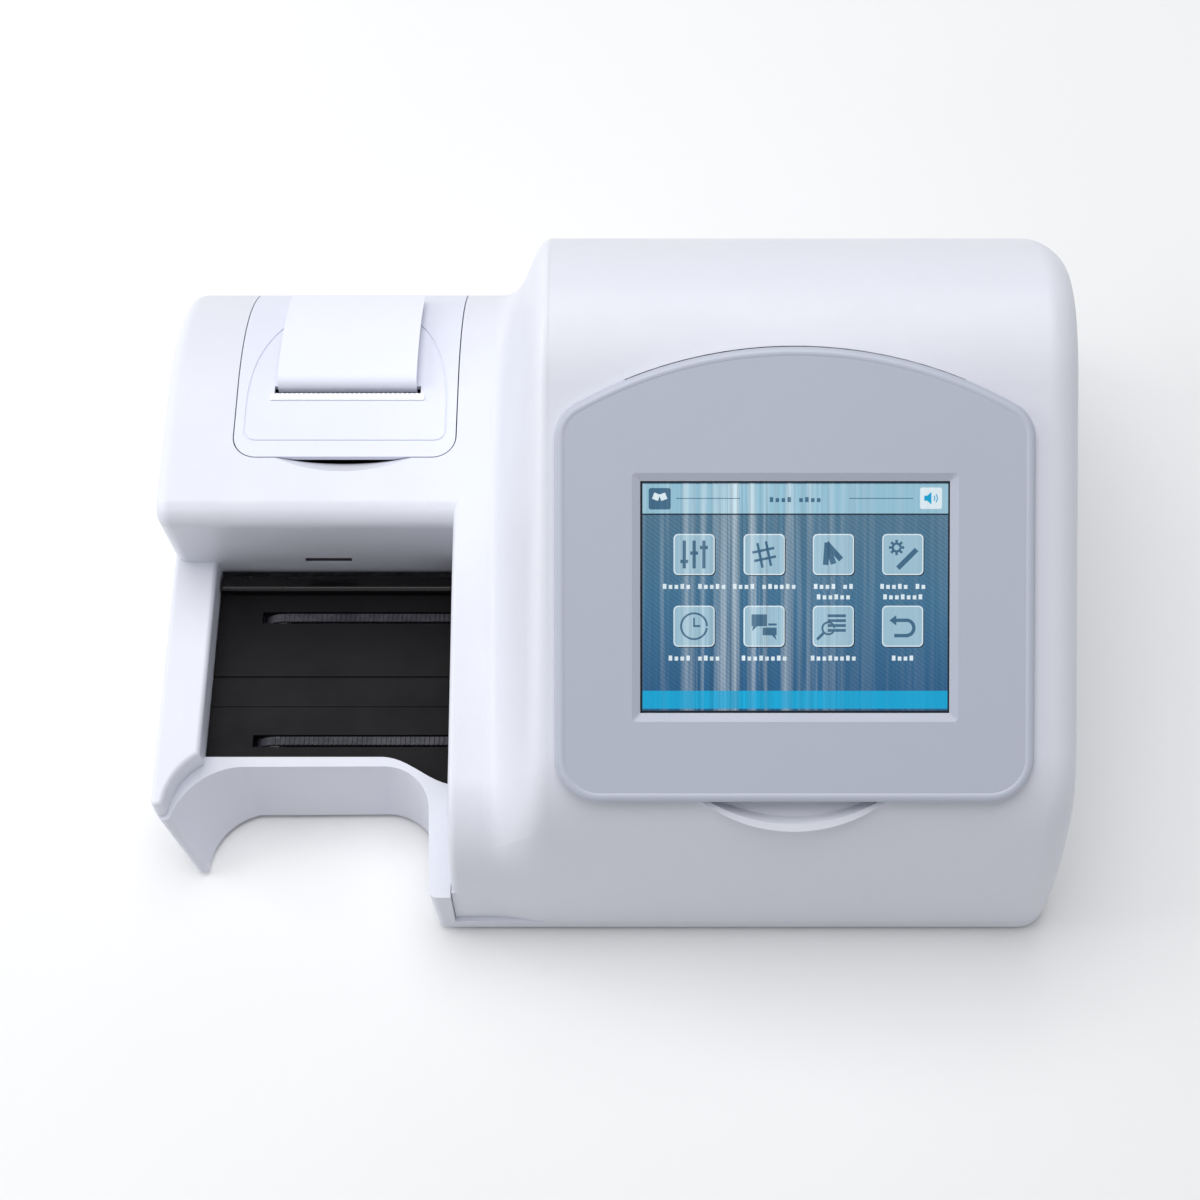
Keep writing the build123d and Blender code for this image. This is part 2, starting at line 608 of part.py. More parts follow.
with BuildPart() as lower_housing:
    loft([bay_plan(BAY_LOW, TUB_Z), bay_plan(BAY_TOP, LEDGE_Z)], ruled=True)
    with BuildSketch(Plane.XY.offset(TUB_Z)):
        with BuildLine():
            FilletPolyline((-61.3, FRONT), (RIGHT, FRONT), (RIGHT, BACK), (-61.3, BACK), radius=HUMP_EDGE)
            Line((-61.3, BACK), (-61.3, FRONT))
        make_face()
    extrude(amount=SEAM_Z - TUB_Z)
    # hollows: the hump's side, the deck's side, the platform's well and the ledge
    with BuildSketch(Plane.XY.offset(FLOOR_Z)):
        with BuildLine():
            FilletPolyline((-58.0, FRONT + WALL), (RIGHT - WALL, FRONT + WALL), (RIGHT - WALL, BACK - WALL),
                           (-58.0, BACK - WALL), radius=HUMP_EDGE - WALL)
            Line((-58.0, BACK - WALL), (-58.0, FRONT + WALL))
        make_face()
    extrude(amount=40.0, mode=Mode.SUBTRACT)
    for hollow in (
        box(-179.0, -57.0, -81.0, 136.5, FLOOR_Z, 36.5),
        box(-66.5, -57.0, -138.5, -96.0, FLOOR_Z, 36.5),
        box(-178.0, -61.0, 7.0, 135.5, 36.0, 41.0),
        box(-165.0, -61.0, PLATE_FRONT - 0.4, 8.0, 33.0, 41.0),
    ):
        add(hollow, mode=Mode.SUBTRACT)
    with BuildSketch(Plane.XY.offset(33.0)):
        with BuildLine():
            Polyline((-60.0, PLATE_FLARE_Y - 0.4), (-60.0, -80.0), (-92.0, -80.0), (-92.0, PLATE_FRONT - 0.4))
            Bezier((-92.0, PLATE_FRONT - 0.4), (-80.0, PLATE_FRONT - 0.4), (-72.0, PLATE_FLARE_Y - 0.4),
                   (-60.0, PLATE_FLARE_Y - 0.4))
        make_face()
    extrude(amount=8.0, mode=Mode.SUBTRACT)
    # lips behind the seam, ribs under the platform, bearing blocks and board bosses
    for x0, x1, y0, y1 in ((-15.0, 160.0, -138.2, -136.6), (-15.0, 10.0, 136.6, 138.2), (156.0, 165.0, 136.6, 138.2)):
        add(box(x0, x1, y0, y1, FLOOR_Z - 1.0, SEAM_Z + 3.0))
    for x0, x1, y0 in ((-15.0, 160.0, -139.0), (-15.0, 10.0, 136.6), (156.0, 165.0, 136.6)):
        add(box(x0, x1, y0, y0 + 2.4, FLOOR_Z - 1.0, SEAM_Z))
    for x in (-120.0, -40.0, 40.0):
        add(box(x - 2.0, x + 2.0, -58.0, -30.0, FLOOR_Z - 1.0, PLATE_Z - PLATE_THICK))
    for y0, y1 in bearings:
        for x in (IDLER_X, DRIVE_X):
            add(box(x - 6.0, x + 6.0, y0, y1, FLOOR_Z - 1.0, PLATE_Z - PLATE_THICK))
            add(rod(SHAFT + RUN, y0 - 1, y1 + 1, (x, PULLEY_Z), "Y"), mode=Mode.SUBTRACT)
    add(box(PINION_X - 12.0, PINION_X + 12.0, 18.0, 36.0, FLOOR_Z - 1.0, 24.0))
    add(rod(MOTOR + 0.05, 17.0, 37.0, (PINION_X, PULLEY_Z), "Y"), mode=Mode.SUBTRACT)
    for x, y in board_bosses:
        add(rod(3.5, FLOOR_Z - 1.0, 16.0, (x, y), "Z"))
    for y in (DRAWER_FRONT + 4.0, DRAWER_BACK - 8.0):
        add(box(DRAWER_LEFT + 3.0, RIGHT - 8.0, y, y + 4.0, FLOOR_Z - 1.0, DRAWER_Z - RUN))
    # screw holes under the housing's posts and holes for the feet
    for x, y in screw_places:
        add(rod(5.5, FLOOR_Z - 1.0, SEAM_Z, (x, y), "Z"))
        add(rod(1.5, 0.0, SEAM_Z + 1, (x, y), "Z"), mode=Mode.SUBTRACT)
        add(rod(3.3, 0.0, FLOOR_Z, (x, y), "Z"), mode=Mode.SUBTRACT)
    for x, y in foot_places.values():
        add(rod(2.9, 0.0, FLOOR_Z + 1, (x, y), "Z"), mode=Mode.SUBTRACT)
save(lower_housing, "lower_housing")

for name, place in foot_places.items():
    with BuildPart() as foot:
        add(rod(8.0, 0.0, TUB_Z, place, "Z"))
        fillet(foot.edges().filter_by(GeomType.CIRCLE).sort_by(Axis.Z)[:1], radius=1.0)
        add(rod(2.85, TUB_Z - 0.5, FLOOR_Z - 0.4, place, "Z"))
    save(foot, name)

with BuildPart() as housing_screws:
    for x, y in screw_places:
        add(rod(3.0, TUB_Z + 0.4, FLOOR_Z, (x, y), "Z"))
        add(rod(1.28, FLOOR_Z - 0.5, SEAM_Z + 15.0, (x, y), "Z"))
        add(box(x - 2.2, x + 2.2, y - 0.4, y + 0.4, TUB_Z, TUB_Z + 1.4), mode=Mode.SUBTRACT)
        add(box(x - 0.4, x + 0.4, y - 2.2, y + 2.2, TUB_Z, TUB_Z + 1.4), mode=Mode.SUBTRACT)
save(housing_screws, "housing_screws")

# ---------------------------------------------------------------- tilting display
with BuildPart() as display_bezel:
    with BuildSketch(slope_plane(PANEL_BACK)):
        add(panel_outline())
    extrude(amount=PANEL_PROUD - PANEL_BACK)
    top = display_bezel.faces().filter_by(Plane(origin=(0, 0, 0), z_dir=face_dir)).sort_by(SLOPE_OUT)[-1]
    fillet(top.edges(), radius=1.5)
    with BuildSketch(slope_plane(PANEL_BACK - 1.0)):
        with Locations((0, WINDOW_MID)):
            Rectangle(WINDOW_WIDTH, WINDOW_HEIGHT)
    extrude(amount=PANEL_PROUD + 2.0, mode=Mode.SUBTRACT)
    with BuildSketch(slope_plane(PANEL_PROUD + 0.01)) as mouth:
        with Locations((0, WINDOW_MID)):
            RectangleRounded(WINDOW_WIDTH + 2 * WINDOW_BEVEL, WINDOW_HEIGHT + 2 * WINDOW_BEVEL, 1.6)
    with BuildSketch(slope_plane(PANEL_PROUD - 1.4)) as throat:
        with Locations((0, WINDOW_MID)):
            RectangleRounded(WINDOW_WIDTH, WINDOW_HEIGHT, 0.4)
    loft([throat.sketch.faces()[0], mouth.sketch.faces()[0]], mode=Mode.SUBTRACT)
    with BuildSketch(slope_plane(PANEL_BACK - 1.0)):
        with Locations((0, WINDOW_MID)):
            Rectangle(WINDOW_WIDTH + 5.0, WINDOW_HEIGHT + 5.0)
    extrude(amount=1.0 + GLASS_BACK + GLASS + 0.05 - PANEL_BACK, mode=Mode.SUBTRACT)
    add(rod(TILT_BARREL, PANEL_X - TILT_HALF + 3.5, PANEL_X + TILT_HALF - 3.5, SLOPE_AXIS, "X"))
    for side in (-1, 1):
        x = PANEL_X + side * (TILT_HALF - 1.5)
        add(rod(TILT_BARREL, x - 1.9, x + 1.9, SLOPE_AXIS, "X"), mode=Mode.SUBTRACT)
    add(rod(TILT_PIN + RUN, PANEL_X - TILT_HALF, PANEL_X + TILT_HALF, SLOPE_AXIS, "X"), mode=Mode.SUBTRACT)
save(display_bezel, "display_bezel")

with BuildPart() as tilt_pin:
    add(rod(TILT_PIN, PANEL_X - TILT_HALF + 0.1, PANEL_X + TILT_HALF - 0.1, SLOPE_AXIS, "X"))
save(tilt_pin, "tilt_pin")

with BuildPart() as touch_glass:
    with BuildSketch(slope_plane(GLASS_BACK)):
        with Locations((0, WINDOW_MID)):
            Rectangle(WINDOW_WIDTH + 4.6, WINDOW_HEIGHT + 4.6)
    extrude(amount=GLASS)
save(touch_glass, "touch_glass")

LCD_FRONT = GLASS_BACK - 0.1
RAIL_OUT = LCD_FRONT - LCD_DEPTH
with BuildPart() as lcd_module:
    with BuildSketch(slope_plane(LCD_FRONT)):
        with Locations((0, WINDOW_MID)):
            Rectangle(WINDOW_WIDTH + 3.0, WINDOW_HEIGHT + 3.0)
    extrude(amount=-1.2)
    with BuildSketch(slope_plane(PANEL_BACK - 0.05)):
        with Locations((0, WINDOW_MID)):
            Rectangle(LCD_WIDTH, LCD_HEIGHT)
    extrude(amount=RAIL_OUT - PANEL_BACK + 0.05)
save(lcd_module, "lcd_module")

with BuildPart() as display_back:
    with BuildSketch(slope_plane(PANEL_BACK)):
        with Locations((0, WINDOW_MID)):
            RectangleRounded(POD_WIDTH, POD_HEIGHT, 3.5)
    extrude(amount=-POD_DEPTH)
    fillet(display_back.faces().sort_by(SLOPE_OUT)[0].edges(), radius=2.0)
    with BuildSketch(slope_plane(PANEL_BACK + 1.0)):
        with Locations((0, WINDOW_MID)):
            RectangleRounded(POD_WIDTH - 4.0, POD_HEIGHT - 4.0, 1.5)
    extrude(amount=-POD_DEPTH + 1.0, mode=Mode.SUBTRACT)
    with BuildSketch(slope_plane(RAIL_OUT)):
        for side in (-1, 1):
            with Locations((side * 67.0, WINDOW_MID)):
                Rectangle(13.0, 90.0)
    extrude(amount=-(RAIL_OUT - PANEL_BACK + POD_DEPTH) + 1.0)
    with BuildSketch(slope_plane(-12.0)):
        with Locations([(a, WINDOW_MID + b) for a in (-50, 50) for b in (-38, 38)]):
            Circle(3.0)
    extrude(amount=-(-12.0 - PANEL_BACK + POD_DEPTH) + 1.0)
    # ventilation slots in the pod's back
    with BuildSketch(slope_plane(-POD_DEPTH + PANEL_BACK - 1.0)):
        with Locations([(a, WINDOW_MID) for a in range(-30, 31, 10)]):
            SlotOverall(40.0, 3.0, rotation=90)
    extrude(amount=4.0, mode=Mode.SUBTRACT)
save(display_back, "display_back")

with BuildPart() as display_board:
    with BuildSketch(slope_plane(-12.0)):
        with Locations((0, WINDOW_MID)):
            Rectangle(114.0, 92.0)
    extrude(amount=1.6)
    with BuildSketch(slope_plane(-10.4)):
        with Locations((-24.0, WINDOW_MID + 14.0)):
            Rectangle(22.0, 22.0)
        with Locations((26.0, WINDOW_MID - 20.0)):
            Rectangle(14.0, 18.0)
    extrude(amount=1.8)
save(display_board, "display_board")

# ---------------------------------------------------------------- printer
lid_block = side_block(deck_outline(), LEFT + 10.0, FLANK_LEFT)
lid_core = side_block(deck_outline(LID_SKIN, 30.0), LEFT + 5.0, FLANK_LEFT + 5.0)


def lid_arch(inset=0.0):
    """The arch on the lid in plan: straight foot, round lower corners, an elliptic crown."""
    half, foot, spring, crown = 42.0 - inset, LID_FRONT + 7.6 + inset, 48.0, 110.0 - inset
    with BuildSketch() as arch:
        with BuildLine():
            FilletPolyline((lid_mid - half, spring), (lid_mid - half, foot), (lid_mid + half, foot),
                           (lid_mid + half, spring), radius=5.0 - inset)
            EllipticalCenterArc((lid_mid, spring), half, crown - spring, arc_size=180)
        make_face()
    return arch.sketch


with BuildPart() as lid_groove:
    with BuildSketch():
        add(lid_arch())
        add(lid_arch(GROOVE_WIDE), mode=Mode.SUBTRACT)
    extrude(amount=2 * DECK_Z)
    add(side_block(deck_outline(GROOVE_DEEP, 30.0), LEFT + 5.0, FLANK_LEFT + 5.0), mode=Mode.SUBTRACT)

with BuildPart() as printer_lid:
    add(lid_block)
    add(lid_core, mode=Mode.SUBTRACT)
    add(lid_prism(LID_GAP, lid_axis_z - 0.3, DECK_Z + 5.0), mode=Mode.INTERSECT)
    # a rim round the lid's underside stiffens it
    with BuildSketch(Plane.XY.offset(DECK_Z - LID_SKIN - 4.0)):
        Locations((0, 0))
        with Locations(((LID_LEFT + LID_RIGHT) / 2, LID_FRONT + 20.0)):
            Rectangle(LID_RIGHT - LID_LEFT - 24.0, 2.0)
    extrude(amount=4.5)
    add(box(lid_mid - SLOT_WIDTH / 2, lid_mid + SLOT_WIDTH / 2, SLOT_Y - SLOT_OPEN / 2, SLOT_Y + SLOT_OPEN / 2,
            DECK_Z - 12.0, DECK_Z + 5.0), mode=Mode.SUBTRACT)
    # arch-shaped groove moulded into the lid's top, its crown behind the paper
    add(lid_groove.part, mode=Mode.SUBTRACT)
    place = (lid_axis_y, lid_axis_z)
    add(rod(LID_BARREL, LID_LEFT + LID_GAP, LID_RIGHT - LID_GAP, place, "X"))
    for x0, x1 in ((LID_LEFT - 3.6, LID_LEFT + 2.0), (LID_RIGHT - 2.0, LID_RIGHT + 3.6)):
        add(rod(LID_PIN, x0, x1, place, "X"))
save(printer_lid, "printer_lid")

with BuildPart() as tear_bar:
    with BuildSketch(Plane.XY.offset(DECK_Z)):
        with BuildLine():
            teeth = [(lid_mid - 32.0, 51.4)]
            for i in range(32):
                teeth += [(lid_mid - 32.0 + 2 * i, 53.4), (lid_mid - 31.0 + 2 * i, 54.6)]
            teeth += [(lid_mid + 32.0, 53.4), (lid_mid + 32.0, 51.4)]
            Polyline(*teeth, close=True)
        make_face()
    extrude(amount=0.6)
save(tear_bar, "tear_bar")

paper_moves = [2.5, (4.5, 94.0), (92.0, 36.0)]
paper_front, paper_back = [], []
for stretch, count in zip(walk((SLOT_Y, DECK_Z - 2.0), 90.0, paper_moves), (1, 8, 14)):
    *points, start, end = traced(*stretch, count)
    for i, point in enumerate(points[:-1] if count < 14 else points):
        way = (start[0] + (end[0] - start[0]) * i / count, start[1] + (end[1] - start[1]) * i / count)
        half = PAPER_THICK / 2 / sqrt(way[0] ** 2 + way[1] ** 2)
        paper_front.append((point[0] - way[1] * half, point[1] + way[0] * half))
        paper_back.append((point[0] + way[1] * half, point[1] - way[0] * half))
with BuildPart() as paper_strip:
    with BuildSketch(Plane.YZ.offset(lid_mid - PAPER_WIDTH / 2)):
        Polygon(*paper_front, *reversed(paper_back), align=None)
    extrude(amount=PAPER_WIDTH)
save(paper_strip, "paper_strip")

FRAME_X = (-150.0, -147.0, -67.0, -64.0)
ROLL_AT, PLATEN_AT = (92.0, 62.0), (60.0, 90.0)
with BuildPart() as printer_frame:
    for x in (FRAME_X[0], FRAME_X[2]):
        with BuildSketch(Plane.YZ.offset(x)):
            Polygon((46, FLOOR_Z), (108, FLOOR_Z), (108, 74), (78, 95), (66, 98.5), (46, 98.5), align=None)
        extrude(amount=3.0)
    add(box(FRAME_X[0], FRAME_X[3], 46.0, 108.0, FLOOR_Z, FLOOR_Z + 3.0))
    add(box(FRAME_X[0], FRAME_X[3], 46.0, 49.0, FLOOR_Z, 60.0))
    for at, radius in ((ROLL_AT, SPINDLE + RUN), (PLATEN_AT, 2.0 + RUN), ((60.0, PRINTER_PINION_Z), 1.0 + 0.1)):
        add(rod(radius, FRAME_X[0] - 1, FRAME_X[3] + 1, at, "X"), mode=Mode.SUBTRACT)
save(printer_frame, "printer_frame")

with BuildPart() as paper_roll:
    add(rod(24.0, lid_mid - 28.7, lid_mid + 28.7, ROLL_AT, "X"))
    add(rod(6.0, lid_mid - 30.0, lid_mid + 30.0, ROLL_AT, "X"), mode=Mode.SUBTRACT)
save(paper_roll, "paper_roll")

with BuildPart() as roll_spindle:
    add(rod(5.95, lid_mid - 28.7, lid_mid + 28.7, ROLL_AT, "X"))
    add(rod(SPINDLE, FRAME_X[0] + 0.1, FRAME_X[3] - 0.1, ROLL_AT, "X"))
save(roll_spindle, "roll_spindle")

with BuildPart() as platen_roller:
    add(rod(6.0, lid_mid - 29.0, lid_mid + 29.0, PLATEN_AT, "X"))
    add(rod(2.0, -155.0, FRAME_X[3] - 0.1, PLATEN_AT, "X"))
save(platen_roller, "platen_roller")


def gear(module, teeth, turn):
    """A spur gear's outline: straight-sided teeth, the first one pointing at turn degrees."""
    pitch, step = module * teeth / 2, 2 * pi / teeth
    sides = ((pitch - 1.2 * module, 0.34), (pitch, 0.225), (pitch + 0.9 * module, 0.09))
    points = []
    for i in range(teeth):
        middle = radians(turn) + i * step
        for radius, share in sides:
            points.append((radius * cos(middle - share * step), radius * sin(middle - share * step)))
        for radius, share in reversed(sides):
            points.append((radius * cos(middle + share * step), radius * sin(middle + share * step)))
    return points


def gear_x(module, teeth, turn, x0, thick, at, bore):
    with BuildPart() as wheel:
        with BuildSketch(Plane.YZ.offset(x0)):
            with Locations(at):
                Polygon(*gear(module, teeth, turn), align=None)
                if bore:
                    Circle(bore, mode=Mode.SUBTRACT)
        extrude(amount=thick)
    return wheel.part


def gear_y(module, teeth, turn, y0, thick, at, bore):
    with BuildPart() as wheel:
        with BuildSketch(Plane.XZ.offset(-y0)):
            with Locations(at):
                Polygon(*gear(module, teeth, turn), align=None)
                if bore:
                    Circle(bore, mode=Mode.SUBTRACT)
        extrude(amount=-thick)
    return wheel.part


with BuildPart() as platen_gear:
    add(gear_x(PRINT_MODULE, 24, 90.0, -154.5, 3.5, PLATEN_AT, 2.02))
save(platen_gear, "platen_gear")

with BuildPart() as printer_pinion:
    add(gear_x(PRINT_MODULE, 10, 0.0, -154.5, 3.5, (60.0, PRINTER_PINION_Z), 0))
    add(rod(1.0, -152.0, FRAME_X[1] - 0.05, (60.0, PRINTER_PINION_Z), "X"))
save(printer_pinion, "printer_pinion")

with BuildPart() as printer_motor:
    add(rod(5.6, FRAME_X[1], FRAME_X[1] + 24.0, (60.0, PRINTER_PINION_Z), "X"))
    add(rod(2.2, FRAME_X[1] + 24.0, FRAME_X[1] + 26.0, (60.0, PRINTER_PINION_Z), "X"))
save(printer_motor, "printer_motor")

with BuildPart() as print_head:
    add(box(FRAME_X[1] + 0.05, FRAME_X[2] - 0.05, 50.7, 53.7, 80.0, 98.0))
    add(box(lid_mid - 28.0, lid_mid + 28.0, 46.7, 50.7, 82.0, 96.0))
    add(box(lid_mid - 26.0, lid_mid + 26.0, 46.0, 47.4, 84.0, 94.0), mode=Mode.SUBTRACT)
save(print_head, "print_head")

# ---------------------------------------------------------------- strip platform and belts
with BuildPart() as strip_platform:
    with BuildSketch(Plane.XY.offset(PLATE_Z - PLATE_THICK)):
        add(platform_plan())
    extrude(amount=PLATE_THICK)
    for row in BELT_ROWS:
        add(box(-146.0, 70.0, row - 2.7, row + 2.7, 0.0, 50.0), mode=Mode.SUBTRACT)
    add(box(-164.6, PLATE_RIGHT + 1, -45.6, -44.0, PLATE_Z - 0.8, 50.0), mode=Mode.SUBTRACT)
    add(box(-164.6, PLATE_RIGHT, -57.9, -56.9, PLATE_Z - 0.5, PLATE_Z + 0.4))
    for x in (-8.0, 28.0):
        add(rod(2.0, 0.0, 50.0, (x, -2.0), "Z"), mode=Mode.SUBTRACT)
save(strip_platform, "strip_platform")

with BuildPart() as strip_stop_bar:
    add(box(-163.6, -66.0, -6.2, 1.1, PLATE_Z, PLATE_Z + 5.0))
    fillet(strip_stop_bar.edges().filter_by(Axis.X).sort_by(Axis.Z)[-2:], radius=2.0)
save(strip_stop_bar, "strip_stop_bar")

for name, row in zip(("back_belt", "front_belt"), BELT_ROWS):
    with BuildPart() as belt:
        with BuildSketch(Plane.XZ.offset(-row + BELT_WIDTH / 2)):
            for radius, mode in ((PULLEY + BELT_THICK, Mode.ADD), (PULLEY, Mode.SUBTRACT)):
                with Locations(((IDLER_X + DRIVE_X) / 2, PULLEY_Z)):
                    SlotCenterToCenter(DRIVE_X - IDLER_X, 2 * radius, mode=mode)
        extrude(amount=-BELT_WIDTH)
    save(belt, name)

for name, x, y0, y1 in (("idler_roller", IDLER_X, -79.0, -11.0), ("drive_roller", DRIVE_X, -79.0, GEAR_Y + GEAR_THICK)):
    with BuildPart() as roller:
        add(rod(SHAFT, y0, y1, (x, PULLEY_Z), "Y"))
        for row in BELT_ROWS:
            add(rod(PULLEY - 0.03, row - 2.2, row + 2.2, (x, PULLEY_Z), "Y"))
    save(roller, name)

with BuildPart() as drive_gear:
    add(gear_y(GEAR_MODULE, GEAR_TEETH, 0.0, GEAR_Y, GEAR_THICK, (DRIVE_X, PULLEY_Z), SHAFT + 0.02))
save(drive_gear, "drive_gear")

with BuildPart() as drive_pinion:
    add(gear_y(GEAR_MODULE, PINION_TEETH, 15.0, GEAR_Y, GEAR_THICK, (PINION_X, PULLEY_Z), 0))
    add(rod(2.0, GEAR_Y + 1.0, GEAR_Y + GEAR_THICK + 0.95, (PINION_X, PULLEY_Z), "Y"))
save(drive_pinion, "drive_pinion")

with BuildPart() as belt_motor:
    add(rod(MOTOR, 14.0, 40.0, (PINION_X, PULLEY_Z), "Y"))
    fillet(belt_motor.edges().sort_by(Axis.Y)[-1], radius=2.0)
save(belt_motor, "belt_motor")

# ---------------------------------------------------------------- optical head
rods_x = (HEAD_X - ROD_SPAN / 2, HEAD_X + ROD_SPAN / 2)
for name, y0 in (("rod_bracket_front", -98.0), ("rod_bracket_back", 6.0)):
    with BuildPart() as bracket:
        add(box(HEAD_X - 22.0, HEAD_X + 22.0, y0, y0 + 3.0, FLOOR_Z, 82.0))
        foot = (y0 - 12.0, y0 + 1.0) if y0 < 0 else (y0 + 1.0, y0 + 12.0)
        add(box(HEAD_X - 22.0, HEAD_X + 22.0, foot[0], foot[1], FLOOR_Z, FLOOR_Z + 3.0))
        for x in rods_x:
            add(rod(ROD + 0.02, y0 - 1, y0 + 4, (x, ROD_Z), "Y"), mode=Mode.SUBTRACT)
        add(rod(2.5 + RUN, y0 - 1, y0 + 4, (HEAD_X, ROD_Z), "Y"), mode=Mode.SUBTRACT)
    save(bracket, name)

for name, x in zip(("guide_rod_left", "guide_rod_right"), rods_x):
    with BuildPart() as guide:
        add(rod(ROD, -98.0, 9.0, (x, ROD_Z), "Y"))
    save(guide, name)

with BuildPart() as lead_screw:
    add(rod(2.5, -97.9, 8.9, (HEAD_X, ROD_Z), "Y"))
save(lead_screw, "lead_screw")

with BuildPart() as head_motor:
    add(box(HEAD_X - 10.0, HEAD_X + 10.0, 9.0, 27.0, ROD_Z - 10.0, ROD_Z + 10.0))
    fillet(head_motor.edges().filter_by(Axis.Y), radius=2.0)
save(head_motor, "head_motor")

with BuildPart() as head_carriage:
    add(box(HEAD_X - 22.0, HEAD_X + 22.0, -22.0, 4.0, 62.0, 84.0))
    fillet(head_carriage.edges().filter_by(Axis.Z), radius=2.0)
    for x in rods_x:
        add(rod(ROD + RUN, -30.0, 10.0, (x, ROD_Z), "Y"), mode=Mode.SUBTRACT)
    add(rod(2.5 + 0.08, -30.0, 10.0, (HEAD_X, ROD_Z), "Y"), mode=Mode.SUBTRACT)
save(head_carriage, "head_carriage")

with BuildPart() as head_lens:
    add(rod(8.0, 50.0, 62.0, (HEAD_X, -9.0), "Z"))
    add(rod(6.0, 49.0, 52.0, (HEAD_X, -9.0), "Z"), mode=Mode.SUBTRACT)
save(head_lens, "head_lens")

with BuildPart() as lamp_board:
    add(box(HEAD_X - 18.0, HEAD_X + 18.0, -19.0, 1.0, 84.0, 85.6))
    for x in (-10.0, 0.0, 10.0):
        add(rod(2.0, 85.6, 87.4, (HEAD_X + x, -9.0), "Z"))
save(lamp_board, "lamp_board")

# ---------------------------------------------------------------- waste drawer
with BuildPart() as waste_drawer:
    add(box(DRAWER_LEFT, RIGHT - 4.0, DRAWER_FRONT + 1.5, DRAWER_BACK - 1.5, DRAWER_Z, DRAWER_TOP))
    fillet(waste_drawer.edges().filter_by(Axis.Z), radius=3.0)
    add(box(RIGHT - 5.0, RIGHT, DRAWER_FRONT, DRAWER_BACK, SEAM_Z + 0.5, DRAWER_TOP + 3.5))
    add(box(DRAWER_LEFT + DRAWER_WALL, RIGHT - 5.0, DRAWER_FRONT + 1.5 + DRAWER_WALL,
            DRAWER_BACK - 1.5 - DRAWER_WALL, DRAWER_Z + DRAWER_WALL, DRAWER_TOP + 1.0), mode=Mode.SUBTRACT)
    # hooded grip in the drawer's front
    add(rod(9.0, DRAWER_FRONT + 27.0, DRAWER_BACK - 27.0, (RIGHT + 5.5, DRAWER_TOP - 9.0), "Y"),
        mode=Mode.SUBTRACT)
save(waste_drawer, "waste_drawer")

# ---------------------------------------------------------------- electronics and rear connectors
with BuildPart() as sensor_window:
    add(box(SENSOR_X - SENSOR_W / 2 + 0.1, SENSOR_X + SENSOR_W / 2 - 0.1, 3.4, 5.2, SENSOR_Z - SENSOR_H / 2 + 0.1,
            SENSOR_Z + SENSOR_H / 2 - 0.1))
save(sensor_window, "sensor_window")

with BuildPart() as main_board:
    add(box(20.0, 167.0, 50.0, 125.0, 16.0, 17.6))
    for x0, x1, y0, y1, high in ((60, 84, 70, 94, 2.2), (110, 128, 62, 74, 2.0), (100, 130, 84, 108, 3.0),
                                 (34, 48, 92, 118, 12.0), (140, 160, 70, 100, 9.0)):
        add(box(x0, x1, y0, y1, 17.6, 17.6 + high))
save(main_board, "main_board")

INLET, SWITCH, SERIAL, USB = (124.0, 37.0), (92.0, 37.0), (60.0, 40.0), (31.0, 40.0)
with BuildPart() as rear_panel:
    add(box(REAR_X0 + 0.1, REAR_X1 - 0.1, REAR_Y + 0.3, REAR_Y + 2.8, REAR_Z0 + 0.1, REAR_Z1 - 0.1))
    for (x, z), w, h in ((INLET, 27.4, 20.4), (SWITCH, 13.4, 19.4), (SERIAL, 20.2, 11.2), (USB, 12.6, 11.6)):
        add(box(x - w / 2, x + w / 2, REAR_Y - 1, REAR_Y + 4, z - h / 2, z + h / 2), mode=Mode.SUBTRACT)
save(rear_panel, "rear_panel")

PLATE_Y = REAR_Y + 2.8
with BuildPart() as power_inlet:
    x, z = INLET
    add(box(x - 13.6, x + 13.6, PLATE_Y - 20.0, PLATE_Y, z - 10.1, z + 10.1))
    add(box(x - 16.0, x + 16.0, PLATE_Y, PLATE_Y + 2.0, z - 13.0, z + 13.0))
    with BuildSketch(Plane.XZ.offset(-PLATE_Y - 3.0)):
        with Locations((x, z)):
            Polygon((-12, -8.2), (12, -8.2), (12, 4.5), (8.3, 8.2), (-8.3, 8.2), (-12, 4.5), align=None)
    extrude(amount=18.0, mode=Mode.SUBTRACT)
    for dx, dz in ((-7.0, -1.6), (7.0, -1.6), (0.0, 2.4)):
        add(box(x + dx - 1.0, x + dx + 1.0, PLATE_Y - 16.0, PLATE_Y + 0.5, z + dz - 2.0, z + dz + 2.0))
save(power_inlet, "power_inlet")

with BuildPart() as switch_body:
    x, z = SWITCH
    add(box(x - 6.6, x + 6.6, PLATE_Y - 14.0, PLATE_Y, z - 9.6, z + 9.6))
    add(box(x - 7.5, x + 7.5, PLATE_Y, PLATE_Y + 1.6, z - 10.5, z + 10.5))
    add(box(x - 5.2, x + 5.2, PLATE_Y - 8.0, PLATE_Y + 3, z - 8.2, z + 8.2), mode=Mode.SUBTRACT)
    add(rod(1.05, x - 6.0, x + 6.0, (PLATE_Y - 1.5, z), "X"), mode=Mode.SUBTRACT)
save(switch_body, "switch_body")

with BuildPart() as power_rocker:
    with BuildSketch(Plane.YZ.offset(x - 4.9)):
        Polygon((PLATE_Y - 3.6, z), (PLATE_Y - 2.4, z - 6.9), (PLATE_Y + 2.9, z - 7.3), (PLATE_Y + 1.2, z),
                (PLATE_Y + 2.9, z + 7.3), (PLATE_Y - 2.4, z + 6.9), align=None)
    extrude(amount=9.8)
    add(rod(1.0, x - 5.9, x + 5.9, (PLATE_Y - 1.5, z), "X"))
save(power_rocker, "power_rocker")

